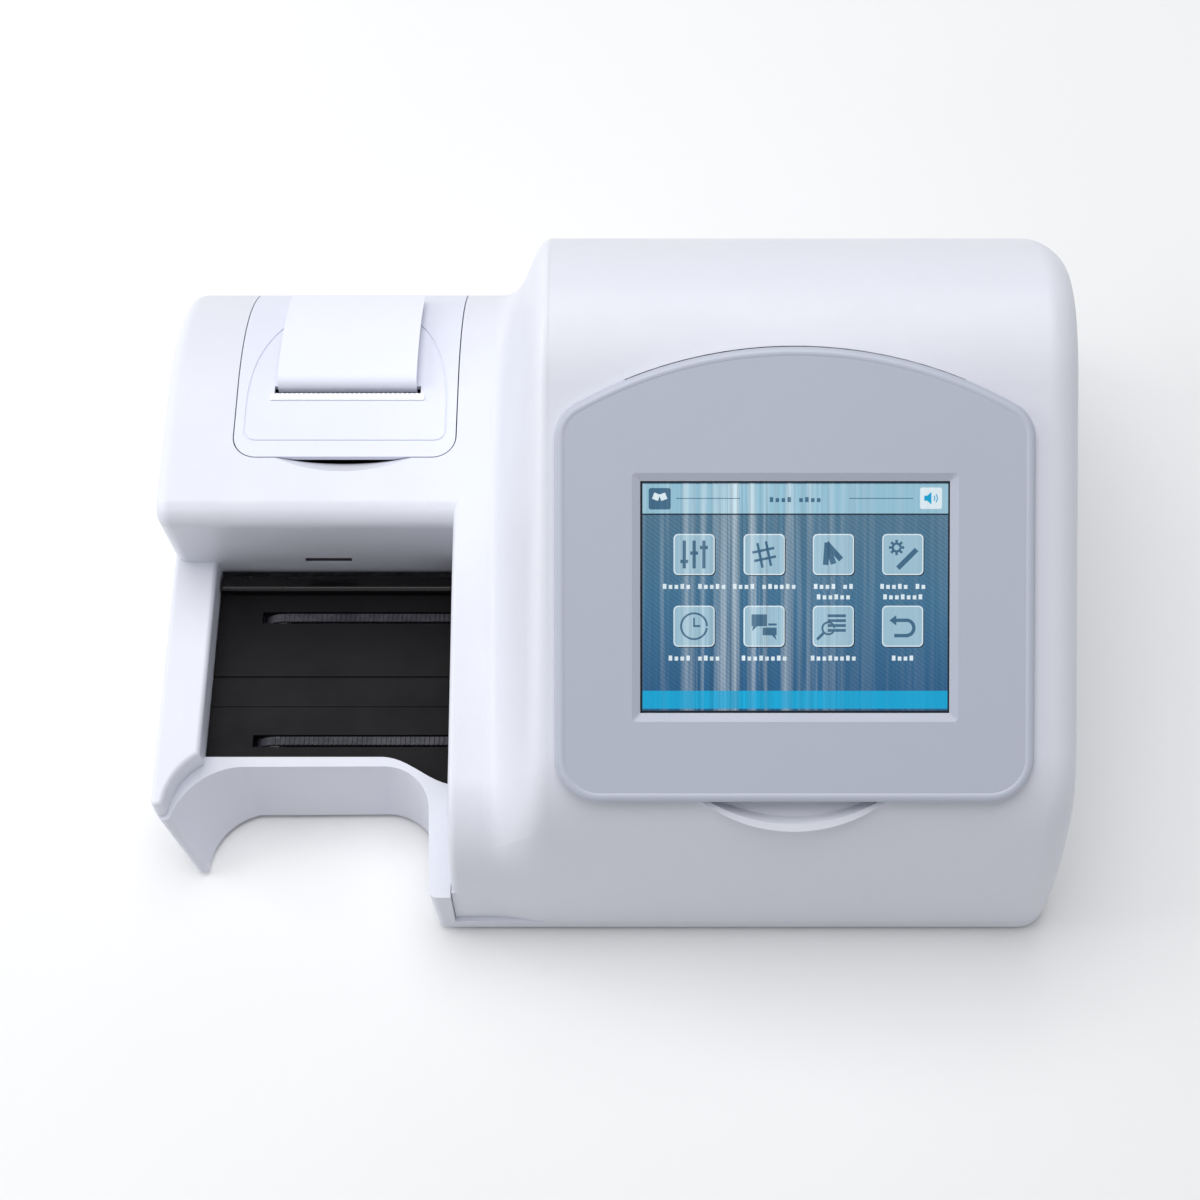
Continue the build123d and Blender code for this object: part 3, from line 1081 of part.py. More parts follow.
with BuildPart() as serial_port:
    x, z = SERIAL
    add(box(x - 10.0, x + 10.0, PLATE_Y - 10.0, PLATE_Y, z - 5.5, z + 5.5))
    add(box(x - 15.4, x + 15.4, PLATE_Y, PLATE_Y + 0.8, z - 6.3, z + 6.3))
    with BuildSketch(Plane.XZ.offset(-PLATE_Y - 0.8)):
        with Locations((x, z)):
            Trapezoid(17.6, 8.4, 80)
            Trapezoid(16.2, 7.0, 80, mode=Mode.SUBTRACT)
    extrude(amount=-4.6)
    for dx in (-12.6, 12.6):
        add(rod(2.2, PLATE_Y + 0.8, PLATE_Y + 4.2, (x + dx, z), "Y"))
    for i in range(5):
        add(rod(0.5, PLATE_Y + 0.8, PLATE_Y + 4.6, (x - 5.6 + 2.8 * i, z + 1.4), "Y"))
    for i in range(4):
        add(rod(0.5, PLATE_Y + 0.8, PLATE_Y + 4.6, (x - 4.2 + 2.8 * i, z - 1.4), "Y"))
save(serial_port, "serial_port")

with BuildPart() as usb_port:
    x, z = USB
    add(box(x - 6.2, x + 6.2, PLATE_Y - 14.0, PLATE_Y + 2.0, z - 5.7, z + 5.7))
    add(box(x - 4.6, x + 4.6, PLATE_Y - 8.0, PLATE_Y + 3.0, z - 4.1, z + 4.1), mode=Mode.SUBTRACT)
    add(box(x - 2.8, x + 2.8, PLATE_Y - 9.0, PLATE_Y + 1.0, z - 1.6, z + 1.6))
save(usb_port, "usb_port")
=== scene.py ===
"""Dresses the bench-top strip analyser: plastics, lit screen, belt teeth, paper, metals, studio."""
import math

import bmesh
import bpy
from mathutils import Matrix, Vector


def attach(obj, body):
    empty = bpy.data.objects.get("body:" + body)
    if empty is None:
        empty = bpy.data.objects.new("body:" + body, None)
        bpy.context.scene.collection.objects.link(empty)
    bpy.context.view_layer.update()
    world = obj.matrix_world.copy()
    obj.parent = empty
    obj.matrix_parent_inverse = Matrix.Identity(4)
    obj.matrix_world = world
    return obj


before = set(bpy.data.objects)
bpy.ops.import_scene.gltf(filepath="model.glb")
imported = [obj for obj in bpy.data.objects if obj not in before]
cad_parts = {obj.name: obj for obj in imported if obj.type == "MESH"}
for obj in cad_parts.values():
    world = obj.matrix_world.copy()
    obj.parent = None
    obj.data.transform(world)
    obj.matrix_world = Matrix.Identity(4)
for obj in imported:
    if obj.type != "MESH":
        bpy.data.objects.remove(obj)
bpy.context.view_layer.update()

bl_info = {
    "name": "Strip Analyser Dressing",
    "version": (1, 0, 0),
    "blender": (4, 5, 0),
    "location": "View3D > Sidebar > Analyser",
    "description": "Materials, screen, belts and studio for the bench-top strip analyser",
    "category": "Object",
}

MM = 0.001

# Places that the dressing shares with the solids, in millimetres
SLOPE = math.radians(31.0)
SLOPE_START = (-109.91, 111.79)
PANEL_X, PANEL_START = 73.4, 17.385
PANEL_WIDTH, PANEL_LENGTH = 182.0, 173.0
PANEL_SAG = 26.2
PANEL_LOW_CORNER, PANEL_HIGH_CORNER = 17.0, 14.0
PANEL_FACE, RIM_TOP = 3.96, 4.25
WINDOW_WIDTH, WINDOW_HEIGHT, WINDOW_MIDDLE = 117.4, 88.2, 78.0
BELT_ROWS = {"back_belt": -16.8, "front_belt": -73.3}
BELT_START, BELT_STOP, BELT_TOP = -137.0, 58.0, 38.17
TOOTH_HALF_WIDTH = 1.72
TOOTH_PROFILE = ((-0.62, 0.0), (-0.45, 0.7), (-0.2, 1.0), (0.2, 1.0), (0.45, 0.7), (0.62, 0.0))

# The picture on the screen: its width in its own units, how thick each layer is and how far it
# stands off the slope in millimetres, and the pitches of marks, lines and tiles
PICTURE_WIDTH = 309.9
LAYER_THICK = 0.03
FIELD_OUT, SHADOW_OUT, BAR_OUT, EDGE_OUT = 2.20, 2.23, 2.24, 2.26
MARK_OUT, TILE_OUT, SIGN_OUT, BORDER_OUT = 2.28, 2.29, 2.32, 2.34
LETTER_PITCH, LINE_PITCH = 5.9, 10.5
TILE_ROWS, TILE_COLUMNS = (53.0, 125.0), (33.4, 103.6, 172.9, 242.4)

# The photograph's camera: side, focal length and optical centre in pixels, then its place in
# metres and how far it looks down in degrees
PHOTO_SIDE, PHOTO_FOCAL = 1200.0, 2416.6
PHOTO_CENTRE = (635.1, 458.4)
CAMERA_PLACE = (0.01278, -0.46168, 0.97055)
CAMERA_DOWN = 60.72
SENSOR = 36.0

# The colour sockets of a Mix node
MIX_A, MIX_B, MIX_RESULT = 6, 7, 2

# How finely the lines left by working repeat along x, y and z
ALONG_X, ALONG_Y, SHEET_LINES = (60.0, 4000.0, 4000.0), (4000.0, 60.0, 4000.0), (60.0, 60.0, 3000.0)


def on_slope(x, up, out):
    """A point on the tilted display, in metres, from its x, distance up the slope and height."""
    y = SLOPE_START[0] + (up - PANEL_START) * math.cos(SLOPE) - out * math.sin(SLOPE)
    z = SLOPE_START[1] + (up - PANEL_START) * math.sin(SLOPE) + out * math.cos(SLOPE)
    return Vector(((PANEL_X + x) * MM, y * MM, z * MM))


# ---------------------------------------------------------------- mesh helpers
def mesh_piece(name, points, faces, body, smooth=False):
    """A mesh from points in metres, riding on a body of the frame."""
    mesh = bpy.data.meshes.new(name)
    mesh.from_pydata([tuple(p) for p in points], [], faces)
    mesh.validate()
    piece = bpy.data.objects.new(name, mesh)
    bpy.context.scene.collection.objects.link(piece)
    bm = bmesh.new()
    bm.from_mesh(mesh)
    bmesh.ops.recalc_face_normals(bm, faces=bm.faces)
    bm.to_mesh(mesh)
    bm.free()
    mesh.polygons.foreach_set("use_smooth", [smooth] * len(mesh.polygons))
    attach(piece, body)
    return piece


def rounded(width, height, radius, steps=6):
    """The outline of a rounded rectangle round the origin, anticlockwise."""
    outline = []
    for cx, cy, start in ((1, 1, 0), (-1, 1, 90), (-1, -1, 180), (1, -1, 270)):
        for i in range(steps + 1):
            a = math.radians(start + 90.0 * i / steps)
            outline.append(
                (
                    cx * (width / 2 - radius) + radius * math.cos(a),
                    cy * (height / 2 - radius) + radius * math.sin(a),
                )
            )
    return outline


def slab(outline, low, high, place):
    """Points and faces of a flat slab; place turns (x, y, height) into a point in metres."""
    n = len(outline)
    points = [place(x, y, height) for height in (low, high) for x, y in outline]
    faces = [list(range(n))[::-1], list(range(n, 2 * n))]
    faces += [[i, (i + 1) % n, n + (i + 1) % n, n + i] for i in range(n)]
    return points, faces


def panel_outline(inset, steps=10):
    """The display panel's outline moved inwards, anticlockwise from the lower right."""
    half = PANEL_WIDTH / 2
    arch = (half * half + PANEL_SAG * PANEL_SAG) / (2 * PANEL_SAG)
    cy = PANEL_LENGTH - arch
    low, high, r = PANEL_LOW_CORNER, PANEL_HIGH_CORNER, arch - inset
    points = []
    corner = low - inset
    for i in range(steps + 1):
        a = math.radians(270 + 90 * i / steps)
        points.append((half - low + corner * math.cos(a), low + corner * math.sin(a)))
    # shoulder arc between the straight side and the arch
    sx = half - high
    sy = cy + math.sqrt((arch - high) ** 2 - sx ** 2)
    end = math.degrees(math.atan2(sy - cy, sx))
    for i in range(steps + 1):
        a = math.radians(end * i / steps)
        points.append((sx + (high - inset) * math.cos(a), sy + (high - inset) * math.sin(a)))
    for i in range(1, 4 * steps):
        a = math.radians(end + (180 - 2 * end) * i / (4 * steps))
        points.append((r * math.cos(a), cy + r * math.sin(a)))
    for i in range(steps + 1):
        a = math.radians(180 - end + end * i / steps)
        points.append((-sx + (high - inset) * math.cos(a), sy + (high - inset) * math.sin(a)))
    for i in range(steps + 1):
        a = math.radians(180 + 90 * i / steps)
        points.append((-half + low + corner * math.cos(a), low + corner * math.sin(a)))
    return points


# ---------------------------------------------------------------- shader groups
def new_group(name, inputs, outputs):
    """An empty shader node group with named sockets, and its two ends."""
    group = bpy.data.node_groups.new(name, "ShaderNodeTree")
    for title, kind, default in inputs:
        socket = group.interface.new_socket(title, in_out="INPUT", socket_type=kind)
        if default is not None:
            socket.default_value = default
    for title, kind in outputs:
        group.interface.new_socket(title, in_out="OUTPUT", socket_type=kind)
    return group, group.nodes.new("NodeGroupInput"), group.nodes.new("NodeGroupOutput")


def math_node(tree, kind, a, b=None, clamp=False):
    """A Math node's output; a and b are numbers or sockets."""
    node = tree.nodes.new("ShaderNodeMath")
    node.operation = kind
    node.use_clamp = clamp
    for i, value in enumerate((a, b)):
        if value is None:
            continue
        if isinstance(value, (int, float)):
            node.inputs[i].default_value = value
        else:
            tree.links.new(value, node.inputs[i])
    return node.outputs[0]


def noise(tree, vector, scale, detail=3.0, rough=0.5):
    """A noise from 0 to 1 over the surface."""
    node = tree.nodes.new("ShaderNodeTexNoise")
    node.inputs["Detail"].default_value = detail
    node.inputs["Roughness"].default_value = rough
    if isinstance(scale, (int, float)):
        node.inputs["Scale"].default_value = scale
    else:
        tree.links.new(scale, node.inputs["Scale"])
    tree.links.new(vector, node.inputs["Vector"])
    return node.outputs["Fac"]


def remap(tree, value, low, high, to_low, to_high):
    """The value stretched from one range to another, and held at its ends."""
    node = tree.nodes.new("ShaderNodeMapRange")
    tree.links.new(value, node.inputs["Value"])
    limits = {"From Min": low, "From Max": high, "To Min": to_low, "To Max": to_high}
    for socket, number in limits.items():
        if isinstance(number, (int, float)):
            node.inputs[socket].default_value = number
        else:
            tree.links.new(number, node.inputs[socket])
    return node.outputs["Result"]


def tinted(tree, colour, factor):
    """The colour scaled by a number that changes over the surface."""
    node = tree.nodes.new("ShaderNodeVectorMath")
    node.operation = "SCALE"
    tree.links.new(colour, node.inputs[0])
    tree.links.new(factor, node.inputs["Scale"])
    return node.outputs[0]


def moulded_grain():
    """Spark-eroded mould texture: fine grain, faint shade drift and slightly polished patches."""
    if "MouldedGrain" in bpy.data.node_groups:
        return bpy.data.node_groups["MouldedGrain"]
    group, start, end = new_group(
        "MouldedGrain",
        [
            ("Vector", "NodeSocketVector", None),
            ("Color", "NodeSocketColor", (0.7, 0.7, 0.7, 1.0)),
            ("Grain Scale", "NodeSocketFloat", 1800.0),
            ("Shade Drift", "NodeSocketFloat", 0.02),
            ("Roughness", "NodeSocketFloat", 0.45),
            ("Polish", "NodeSocketFloat", 0.06),
        ],
        [
            ("Color", "NodeSocketColor"),
            ("Roughness", "NodeSocketFloat"),
            ("Height", "NodeSocketFloat"),
        ],
    )
    vector = start.outputs["Vector"]
    grain = noise(group, vector, start.outputs["Grain Scale"], 2.0, 0.6)
    drift = noise(group, vector, 9.0, 3.0, 0.5)
    patches = noise(group, vector, 38.0, 4.0, 0.62)
    spread = math_node(group, "SUBTRACT", drift, 0.5)
    spread = math_node(group, "MULTIPLY", spread, start.outputs["Shade Drift"])
    speck = math_node(group, "MULTIPLY", math_node(group, "SUBTRACT", grain, 0.5), 0.03)
    factor = math_node(group, "ADD", math_node(group, "ADD", spread, 1.0), speck)
    group.links.new(tinted(group, start.outputs["Color"], factor), end.inputs["Color"])
    polish = remap(group, patches, 0.35, 0.7, -1.0, 1.0)
    polish = math_node(group, "MULTIPLY", polish, start.outputs["Polish"])
    rough = math_node(group, "ADD", start.outputs["Roughness"], polish, True)
    group.links.new(rough, end.inputs["Roughness"])
    group.links.new(grain, end.inputs["Height"])
    return group


def bench_dust():
    """Fine dust that settles on faces that look up and in soft blotches."""
    if "BenchDust" in bpy.data.node_groups:
        return bpy.data.node_groups["BenchDust"]
    group, start, end = new_group(
        "BenchDust",
        [
            ("Vector", "NodeSocketVector", None),
            ("Color", "NodeSocketColor", (0.7, 0.7, 0.7, 1.0)),
            ("Dust Color", "NodeSocketColor", (0.6, 0.6, 0.6, 1.0)),
            ("Amount", "NodeSocketFloat", 0.05),
            ("Roughness", "NodeSocketFloat", 0.4),
        ],
        [("Color", "NodeSocketColor"), ("Roughness", "NodeSocketFloat")],
    )
    geometry = group.nodes.new("ShaderNodeNewGeometry")
    split = group.nodes.new("ShaderNodeSeparateXYZ")
    group.links.new(geometry.outputs["Normal"], split.inputs[0])
    upward = remap(group, split.outputs["Z"], 0.2, 1.0, 0.0, 1.0)
    vector = start.outputs["Vector"]
    blotch = remap(group, noise(group, vector, 60.0, 5.0, 0.7), 0.4, 0.75, 0.0, 1.0)
    specks = remap(group, noise(group, vector, 900.0, 2.0, 0.5), 0.62, 0.74, 0.0, 1.0)
    mask = math_node(group, "MULTIPLY", upward, math_node(group, "ADD", blotch, specks, True))
    mask = math_node(group, "MULTIPLY", mask, start.outputs["Amount"], True)
    mix = group.nodes.new("ShaderNodeMix")
    mix.data_type = "RGBA"
    group.links.new(mask, mix.inputs["Factor"])
    group.links.new(start.outputs["Color"], mix.inputs[MIX_A])
    group.links.new(start.outputs["Dust Color"], mix.inputs[MIX_B])
    group.links.new(mix.outputs[MIX_RESULT], end.inputs["Color"])
    dulled = math_node(group, "MULTIPLY", mask, 0.5)
    rough = math_node(group, "ADD", start.outputs["Roughness"], dulled, True)
    group.links.new(rough, end.inputs["Roughness"])
    return group


def turned_metal():
    """Lines left by turning or rolling along one axis."""
    if "TurnedMetal" in bpy.data.node_groups:
        return bpy.data.node_groups["TurnedMetal"]
    group, start, end = new_group(
        "TurnedMetal",
        [
            ("Vector", "NodeSocketVector", None),
            ("Color", "NodeSocketColor", (0.6, 0.6, 0.6, 1.0)),
            ("Stretch", "NodeSocketVector", ALONG_Y),
            ("Roughness", "NodeSocketFloat", 0.3),
        ],
        [
            ("Color", "NodeSocketColor"),
            ("Roughness", "NodeSocketFloat"),
            ("Height", "NodeSocketFloat"),
        ],
    )
    scale = group.nodes.new("ShaderNodeVectorMath")
    scale.operation = "MULTIPLY"
    group.links.new(start.outputs["Vector"], scale.inputs[0])
    group.links.new(start.outputs["Stretch"], scale.inputs[1])
    lines = noise(group, scale.outputs[0], 1.0, 3.0, 0.6)
    factor = remap(group, lines, 0.25, 0.75, 0.9, 1.06)
    group.links.new(tinted(group, start.outputs["Color"], factor), end.inputs["Color"])
    scored = remap(group, lines, 0.3, 0.7, -0.06, 0.08)
    rough = math_node(group, "ADD", start.outputs["Roughness"], scored, True)
    group.links.new(rough, end.inputs["Roughness"])
    group.links.new(lines, end.inputs["Height"])
    return group


# ---------------------------------------------------------------- materials
def blank(name):
    """A new material, its node tree and shader, and the object's own coordinates."""
    material = bpy.data.materials.new(name)
    material.use_nodes = True
    tree = material.node_tree
    shader = tree.nodes["Principled BSDF"]
    where = tree.nodes.new("ShaderNodeTexCoord").outputs["Object"]
    return material, tree, shader, where


def linear(colour):
    """An sRGB 0-255 colour as linear RGBA."""
    out = []
    for c in colour[:3]:
        c /= 255.0
        out.append(c / 12.92 if c <= 0.04045 else ((c + 0.055) / 1.055) ** 2.4)
    return (*out, 1.0)


def place_group(tree, group, **values):
    """Places a shader group; each value is a number, a colour or a socket."""
    node = tree.nodes.new("ShaderNodeGroup")
    node.node_tree = group
    for title, value in values.items():
        socket = node.inputs[title.replace("_", " ")]
        if hasattr(value, "is_output"):
            tree.links.new(value, socket)
        else:
            socket.default_value = value
    return node


def relief(tree, shader, height, strength, distance):
    """Turns a height into bumps in the shader's normal."""
    bump = tree.nodes.new("ShaderNodeBump")
    bump.inputs["Strength"].default_value = strength
    bump.inputs["Distance"].default_value = distance
    tree.links.new(height, bump.inputs["Height"])
    tree.links.new(bump.outputs["Normal"], shader.inputs["Normal"])


def plastic(
    name, colour, grain=1800.0, rough=0.45, depth=0.25, drift=0.03, dust=0.05, specular=0.5
):
    """Moulded plastic with grain, faint shade drift and a little dust."""
    material, tree, shader, where = blank(name)
    base = place_group(
        tree,
        moulded_grain(),
        Vector=where,
        Color=linear(colour),
        Grain_Scale=grain,
        Shade_Drift=drift,
        Roughness=rough,
    )
    dusty = place_group(
        tree,
        bench_dust(),
        Vector=where,
        Color=base.outputs["Color"],
        Dust_Color=linear((196, 196, 200)),
        Amount=dust,
        Roughness=base.outputs["Roughness"],
    )
    tree.links.new(dusty.outputs["Color"], shader.inputs["Base Color"])
    tree.links.new(dusty.outputs["Roughness"], shader.inputs["Roughness"])
    shader.inputs["Specular IOR Level"].default_value = specular
    relief(tree, shader, base.outputs["Height"], depth, 0.00012)
    return material


def metal(name, colour, rough=0.3, stretch=ALONG_X, depth=0.15):
    """Bare metal with the fine lines that working leaves."""
    material, tree, shader, where = blank(name)
    lines = place_group(
        tree,
        turned_metal(),
        Vector=where,
        Color=linear(colour),
        Stretch=stretch,
        Roughness=rough,
    )
    tree.links.new(lines.outputs["Color"], shader.inputs["Base Color"])
    tree.links.new(lines.outputs["Roughness"], shader.inputs["Roughness"])
    shader.inputs["Metallic"].default_value = 1.0
    relief(tree, shader, lines.outputs["Height"], depth, 0.00005)
    return material


def motor_can():
    """The drawn can that all three motors share."""
    return bpy.data.materials.get("motor_can") or metal("motor_can", (120, 122, 126), 0.42)


def glass(name):
    """Clear glass with faint smears."""
    material, tree, shader, where = blank(name)
    smear = noise(tree, where, 25.0, 4.0, 0.6)
    tree.links.new(remap(tree, smear, 0.4, 0.75, 0.06, 0.16), shader.inputs["Roughness"])
    shader.inputs["Base Color"].default_value = (0.9, 0.95, 0.97, 1.0)
    shader.inputs["Transmission Weight"].default_value = 0.9
    shader.inputs["IOR"].default_value = 1.49
    return material


def paper(name, colour):
    """Thermal paper: smooth, faintly fibrous and slightly translucent looking."""
    material, tree, shader, where = blank(name)
    fibres = place_group(
        tree,
        moulded_grain(),
        Vector=where,
        Color=linear(colour),
        Grain_Scale=700.0,
        Shade_Drift=0.05,
        Roughness=0.62,
    )
    tree.links.new(fibres.outputs["Color"], shader.inputs["Base Color"])
    tree.links.new(fibres.outputs["Roughness"], shader.inputs["Roughness"])
    shader.inputs["Sheen Weight"].default_value = 0.12
    relief(tree, shader, fibres.outputs["Height"], 0.2, 0.00008)
    return material


def rubber(name, colour, rough=0.7):
    """Dull, coarse and dusty plastic."""
    return plastic(name, colour, 1400.0, rough, 0.5, 0.08, 0.12, 0.35)


def screen_glare():
    """Upright streaks of light over the screen, strongest left of its middle."""
    if "ScreenGlare" in bpy.data.node_groups:
        return bpy.data.node_groups["ScreenGlare"]
    group, start, end = new_group(
        "ScreenGlare",
        [
            ("Vector", "NodeSocketVector", None),
            ("Middle", "NodeSocketFloat", 0.055),
            ("Reach", "NodeSocketFloat", 0.05),
        ],
        [("Glare", "NodeSocketFloat"), ("Shade", "NodeSocketFloat")],
    )
    split = group.nodes.new("ShaderNodeSeparateXYZ")
    group.links.new(start.outputs["Vector"], split.inputs[0])
    offset = math_node(group, "SUBTRACT", split.outputs["X"], start.outputs["Middle"])
    near = math_node(group, "DIVIDE", math_node(group, "ABSOLUTE", offset), start.outputs["Reach"])
    envelope = remap(group, near, 0.0, 1.0, 1.0, 0.16)
    streaks = []
    for stretch, low, high in (((260.0, 4.0, 4.0), 0.44, 0.68), ((900.0, 5.0, 5.0), 0.3, 0.7)):
        scaled = group.nodes.new("ShaderNodeVectorMath")
        scaled.operation = "MULTIPLY"
        scaled.inputs[1].default_value = stretch
        group.links.new(start.outputs["Vector"], scaled.inputs[0])
        streak = noise(group, scaled.outputs[0], 1.0, 3.0, 0.65)
        streaks.append(remap(group, streak, low, high, 0.0, 1.0))
    glare = math_node(group, "MULTIPLY", streaks[0], envelope, True)
    group.links.new(glare, end.inputs["Glare"])
    fine = math_node(group, "MULTIPLY", math_node(group, "SUBTRACT", streaks[1], 0.5), envelope)
    shade = math_node(group, "ADD", math_node(group, "MULTIPLY", fine, 0.5), 1.0)
    group.links.new(shade, end.inputs["Shade"])
    return group


def lit(name, colour, strength, glare=0.35, hatch=0.0, base=None):
    """A lit part of the picture under the streaks of light, hatched where it is the field."""
    material, tree, shader, where = blank(name)
    streaks = place_group(tree, screen_glare(), Vector=where)
    light = tree.nodes.new("ShaderNodeMix")
    light.data_type = "RGBA"
    share = math_node(tree, "MULTIPLY", streaks.outputs["Glare"], glare, True)
    tree.links.new(share, light.inputs["Factor"])
    if base is None:
        light.inputs[MIX_A].default_value = linear(colour)
    else:
        tree.links.new(base(tree, where), light.inputs[MIX_A])
    light.inputs[MIX_B].default_value = linear((232, 244, 250))
    shade = streaks.outputs["Shade"]
    if hatch:
        lines = tree.nodes.new("ShaderNodeTexWave")
        lines.wave_type, lines.bands_direction = "BANDS", "DIAGONAL"
        lines.inputs["Scale"].default_value = 260.0
        tree.links.new(where, lines.inputs["Vector"])
        hatching = remap(tree, lines.outputs["Fac"], 0.0, 1.0, 1.0 - hatch, 1.04)
        shade = math_node(tree, "MULTIPLY", shade, hatching)
    glowing = tinted(tree, light.outputs[MIX_RESULT], shade)
    tree.links.new(glowing, shader.inputs["Emission Color"])
    shader.inputs["Emission Strength"].default_value = strength
    shader.inputs["Base Color"].default_value = (0.01, 0.015, 0.02, 1.0)
    shader.inputs["Roughness"].default_value = 0.4
    shader.inputs["Specular IOR Level"].default_value = 0.1
    return material


def field_blue(tree, where):
    """The field's blue, deeper and brighter towards the foot of the screen."""
    split = tree.nodes.new("ShaderNodeSeparateXYZ")
    tree.links.new(where, split.inputs[0])
    ramp = tree.nodes.new("ShaderNodeValToRGB")
    ramp.color_ramp.elements[0].color = linear((38, 92, 136))
    ramp.color_ramp.elements[1].color = linear((84, 122, 146))
    middle = ramp.color_ramp.elements.new(0.5)
    middle.color = linear((66, 116, 150))
    tree.links.new(remap(tree, split.outputs["Y"], -0.092, -0.026, 0.0, 1.0), ramp.inputs["Fac"])
    return ramp.outputs["Color"]


def circuit(name):
    """Green solder mask with faint tracks."""
    material, tree, shader, where = blank(name)
    tracks = tree.nodes.new("ShaderNodeTexBrick")
    tracks.inputs["Scale"].default_value = 90.0
    tracks.inputs["Color1"].default_value = linear((18, 84, 52))
    tracks.inputs["Color2"].default_value = linear((22, 96, 58))
    tracks.inputs["Mortar"].default_value = linear((40, 120, 78))
    tracks.inputs["Mortar Size"].default_value = 0.03
    tree.links.new(where, tracks.inputs["Vector"])
    tree.links.new(tracks.outputs["Color"], shader.inputs["Base Color"])
    rough = remap(tree, tracks.outputs["Fac"], 0.0, 1.0, 0.3, 0.42)
    tree.links.new(rough, shader.inputs["Roughness"])
    return material


# ---------------------------------------------------------------- settings
class AnalyserHousingLook(bpy.types.PropertyGroup):
    """Colours and texture of the moulded parts"""

    shell: bpy.props.FloatVectorProperty(
        name="Shell",
        description="Colour of the upper housing, 0 to 255",
        subtype="COLOR",
        default=(225, 227, 236),
        min=0.0,
        max=255.0,
    )
    tub: bpy.props.FloatVectorProperty(
        name="Tub",
        description="Colour of the lower housing, 0 to 255",
        subtype="COLOR",
        default=(220, 222, 232),
        min=0.0,
        max=255.0,
    )
    lid: bpy.props.FloatVectorProperty(
        name="Lid",
        description="Colour of the printer lid, 0 to 255",
        subtype="COLOR",
        default=(226, 229, 242),
        min=0.0,
        max=255.0,
    )
    panel: bpy.props.FloatVectorProperty(
        name="Panel",
        description="Colour of the display's frame, 0 to 255",
        subtype="COLOR",
        default=(184, 189, 203),
        min=0.0,
        max=255.0,
    )
    grain: bpy.props.FloatProperty(
        name="Grain",
        description="Scale of the mould's texture, per metre",
        default=1900.0,
        min=100.0,
    )


class AnalyserScreenLook(bpy.types.PropertyGroup):
    """Brightness and sizes of the lit screen and the panel's rim"""

    glow: bpy.props.FloatProperty(
        name="Glow", description="Brightness of the lit screen", default=0.9, min=0.0
    )
    tile: bpy.props.FloatProperty(
        name="Tile", description="Side of a menu tile, in millimetres", default=15.6, min=1.0
    )
    rim: bpy.props.FloatProperty(
        name="Rim",
        description="Width of the panel's raised rim, in millimetres",
        default=2.4,
        min=0.2,
    )


class AnalyserBeltLook(bpy.types.PropertyGroup):
    """Sizes of the belts' teeth"""

    pitch: bpy.props.FloatProperty(
        name="Pitch", description="Distance between teeth, in millimetres", default=2.0, min=0.5
    )
    tooth: bpy.props.FloatProperty(
        name="Tooth", description="Height of a tooth, in millimetres", default=0.35, min=0.05
    )


class AnalyserStageLook(bpy.types.PropertyGroup):
    """Lightness of the floor and strength of the lights"""

    floor: bpy.props.FloatProperty(
        name="Floor", description="Lightness of the floor", default=0.92, min=0.0, max=1.0
    )
    key: bpy.props.FloatProperty(
        name="Key", description="Power of the top light, in watts", subtype="POWER", default=50.0
    )
    fill: bpy.props.FloatProperty(
        name="Fill", description="Strength of the room light", default=0.33, min=0.0
    )


# ---------------------------------------------------------------- signs on the menu's tiles
def bar(x0, y0, x1, y1):
    """An upright rectangle from its lower left to its upper right corner."""
    return [(x0, y0), (x1, y0), (x1, y1), (x0, y1)]


def hoop(x, y, radius, width, start=0.0, end=352.0, steps=24):
    """Part of a ring, as one closed outline."""
    turn = [math.radians(start + (end - start) * i / steps) for i in range(steps + 1)]
    outer, inner = [
        [(x + r * math.cos(a), y + r * math.sin(a)) for a in turn] for r in (radius, radius - width)
    ]
    return outer + inner[::-1]


def spokes(count, near, far, width):
    """Short bars round a ring, as on a cog."""
    strokes = []
    for i in range(count):
        a = 2 * math.pi * i / count
        along, over = (math.cos(a), math.sin(a)), (-math.sin(a), math.cos(a))
        strokes.append(
            [
                (along[0] * r + over[0] * w, along[1] * r + over[1] * w)
                for r, w in ((near, -width), (far, -width), (far, width), (near, width))
            ]
        )
    return strokes


def slanted(strokes, degrees, x=0.0, y=0.0):
    """The same strokes turned about the tile's middle and moved."""
    c, d = math.cos(math.radians(degrees)), math.sin(math.radians(degrees))
    return [[(x + u * c - v * d, y + u * d + v * c) for u, v in stroke] for stroke in strokes]


SLIDERS = [
    stroke
    for x, knob in ((-0.7, -0.5), (0.0, 0.1), (0.7, 0.5))
    for stroke in (
        bar(x - 0.12, -1.0, x + 0.12, 1.0),
        bar(x - 0.28, knob - 0.12, x + 0.28, knob + 0.12),
    )
]
GRID = slanted(
    [
        bar(-0.4, -0.9, -0.22, 0.9),
        bar(0.22, -0.9, 0.4, 0.9),
        bar(-0.8, -0.4, 0.8, -0.22),
        bar(-0.8, 0.22, 0.8, 0.4),
    ],
    12.0,
)
FAN = [
    stroke
    for turn in (42.0, 18.0, -4.0)
    for stroke in slanted([bar(-0.2, -1.5, 0.2, 0.1)], turn, -0.45, 0.75)
]
COG_AND_RULE = [
    *slanted([*spokes(8, 0.28, 0.55, 0.09), hoop(0, 0, 0.36, 0.16)], 0.0, -0.45, 0.5),
    *slanted([bar(-0.95, -0.2, 0.95, 0.16)], 45.0, 0.3, -0.3),
]
CLOCK = [hoop(0, 0, 1.0, 0.14), bar(-0.06, -0.06, 0.06, 0.6), bar(-0.06, -0.06, 0.45, 0.08)]
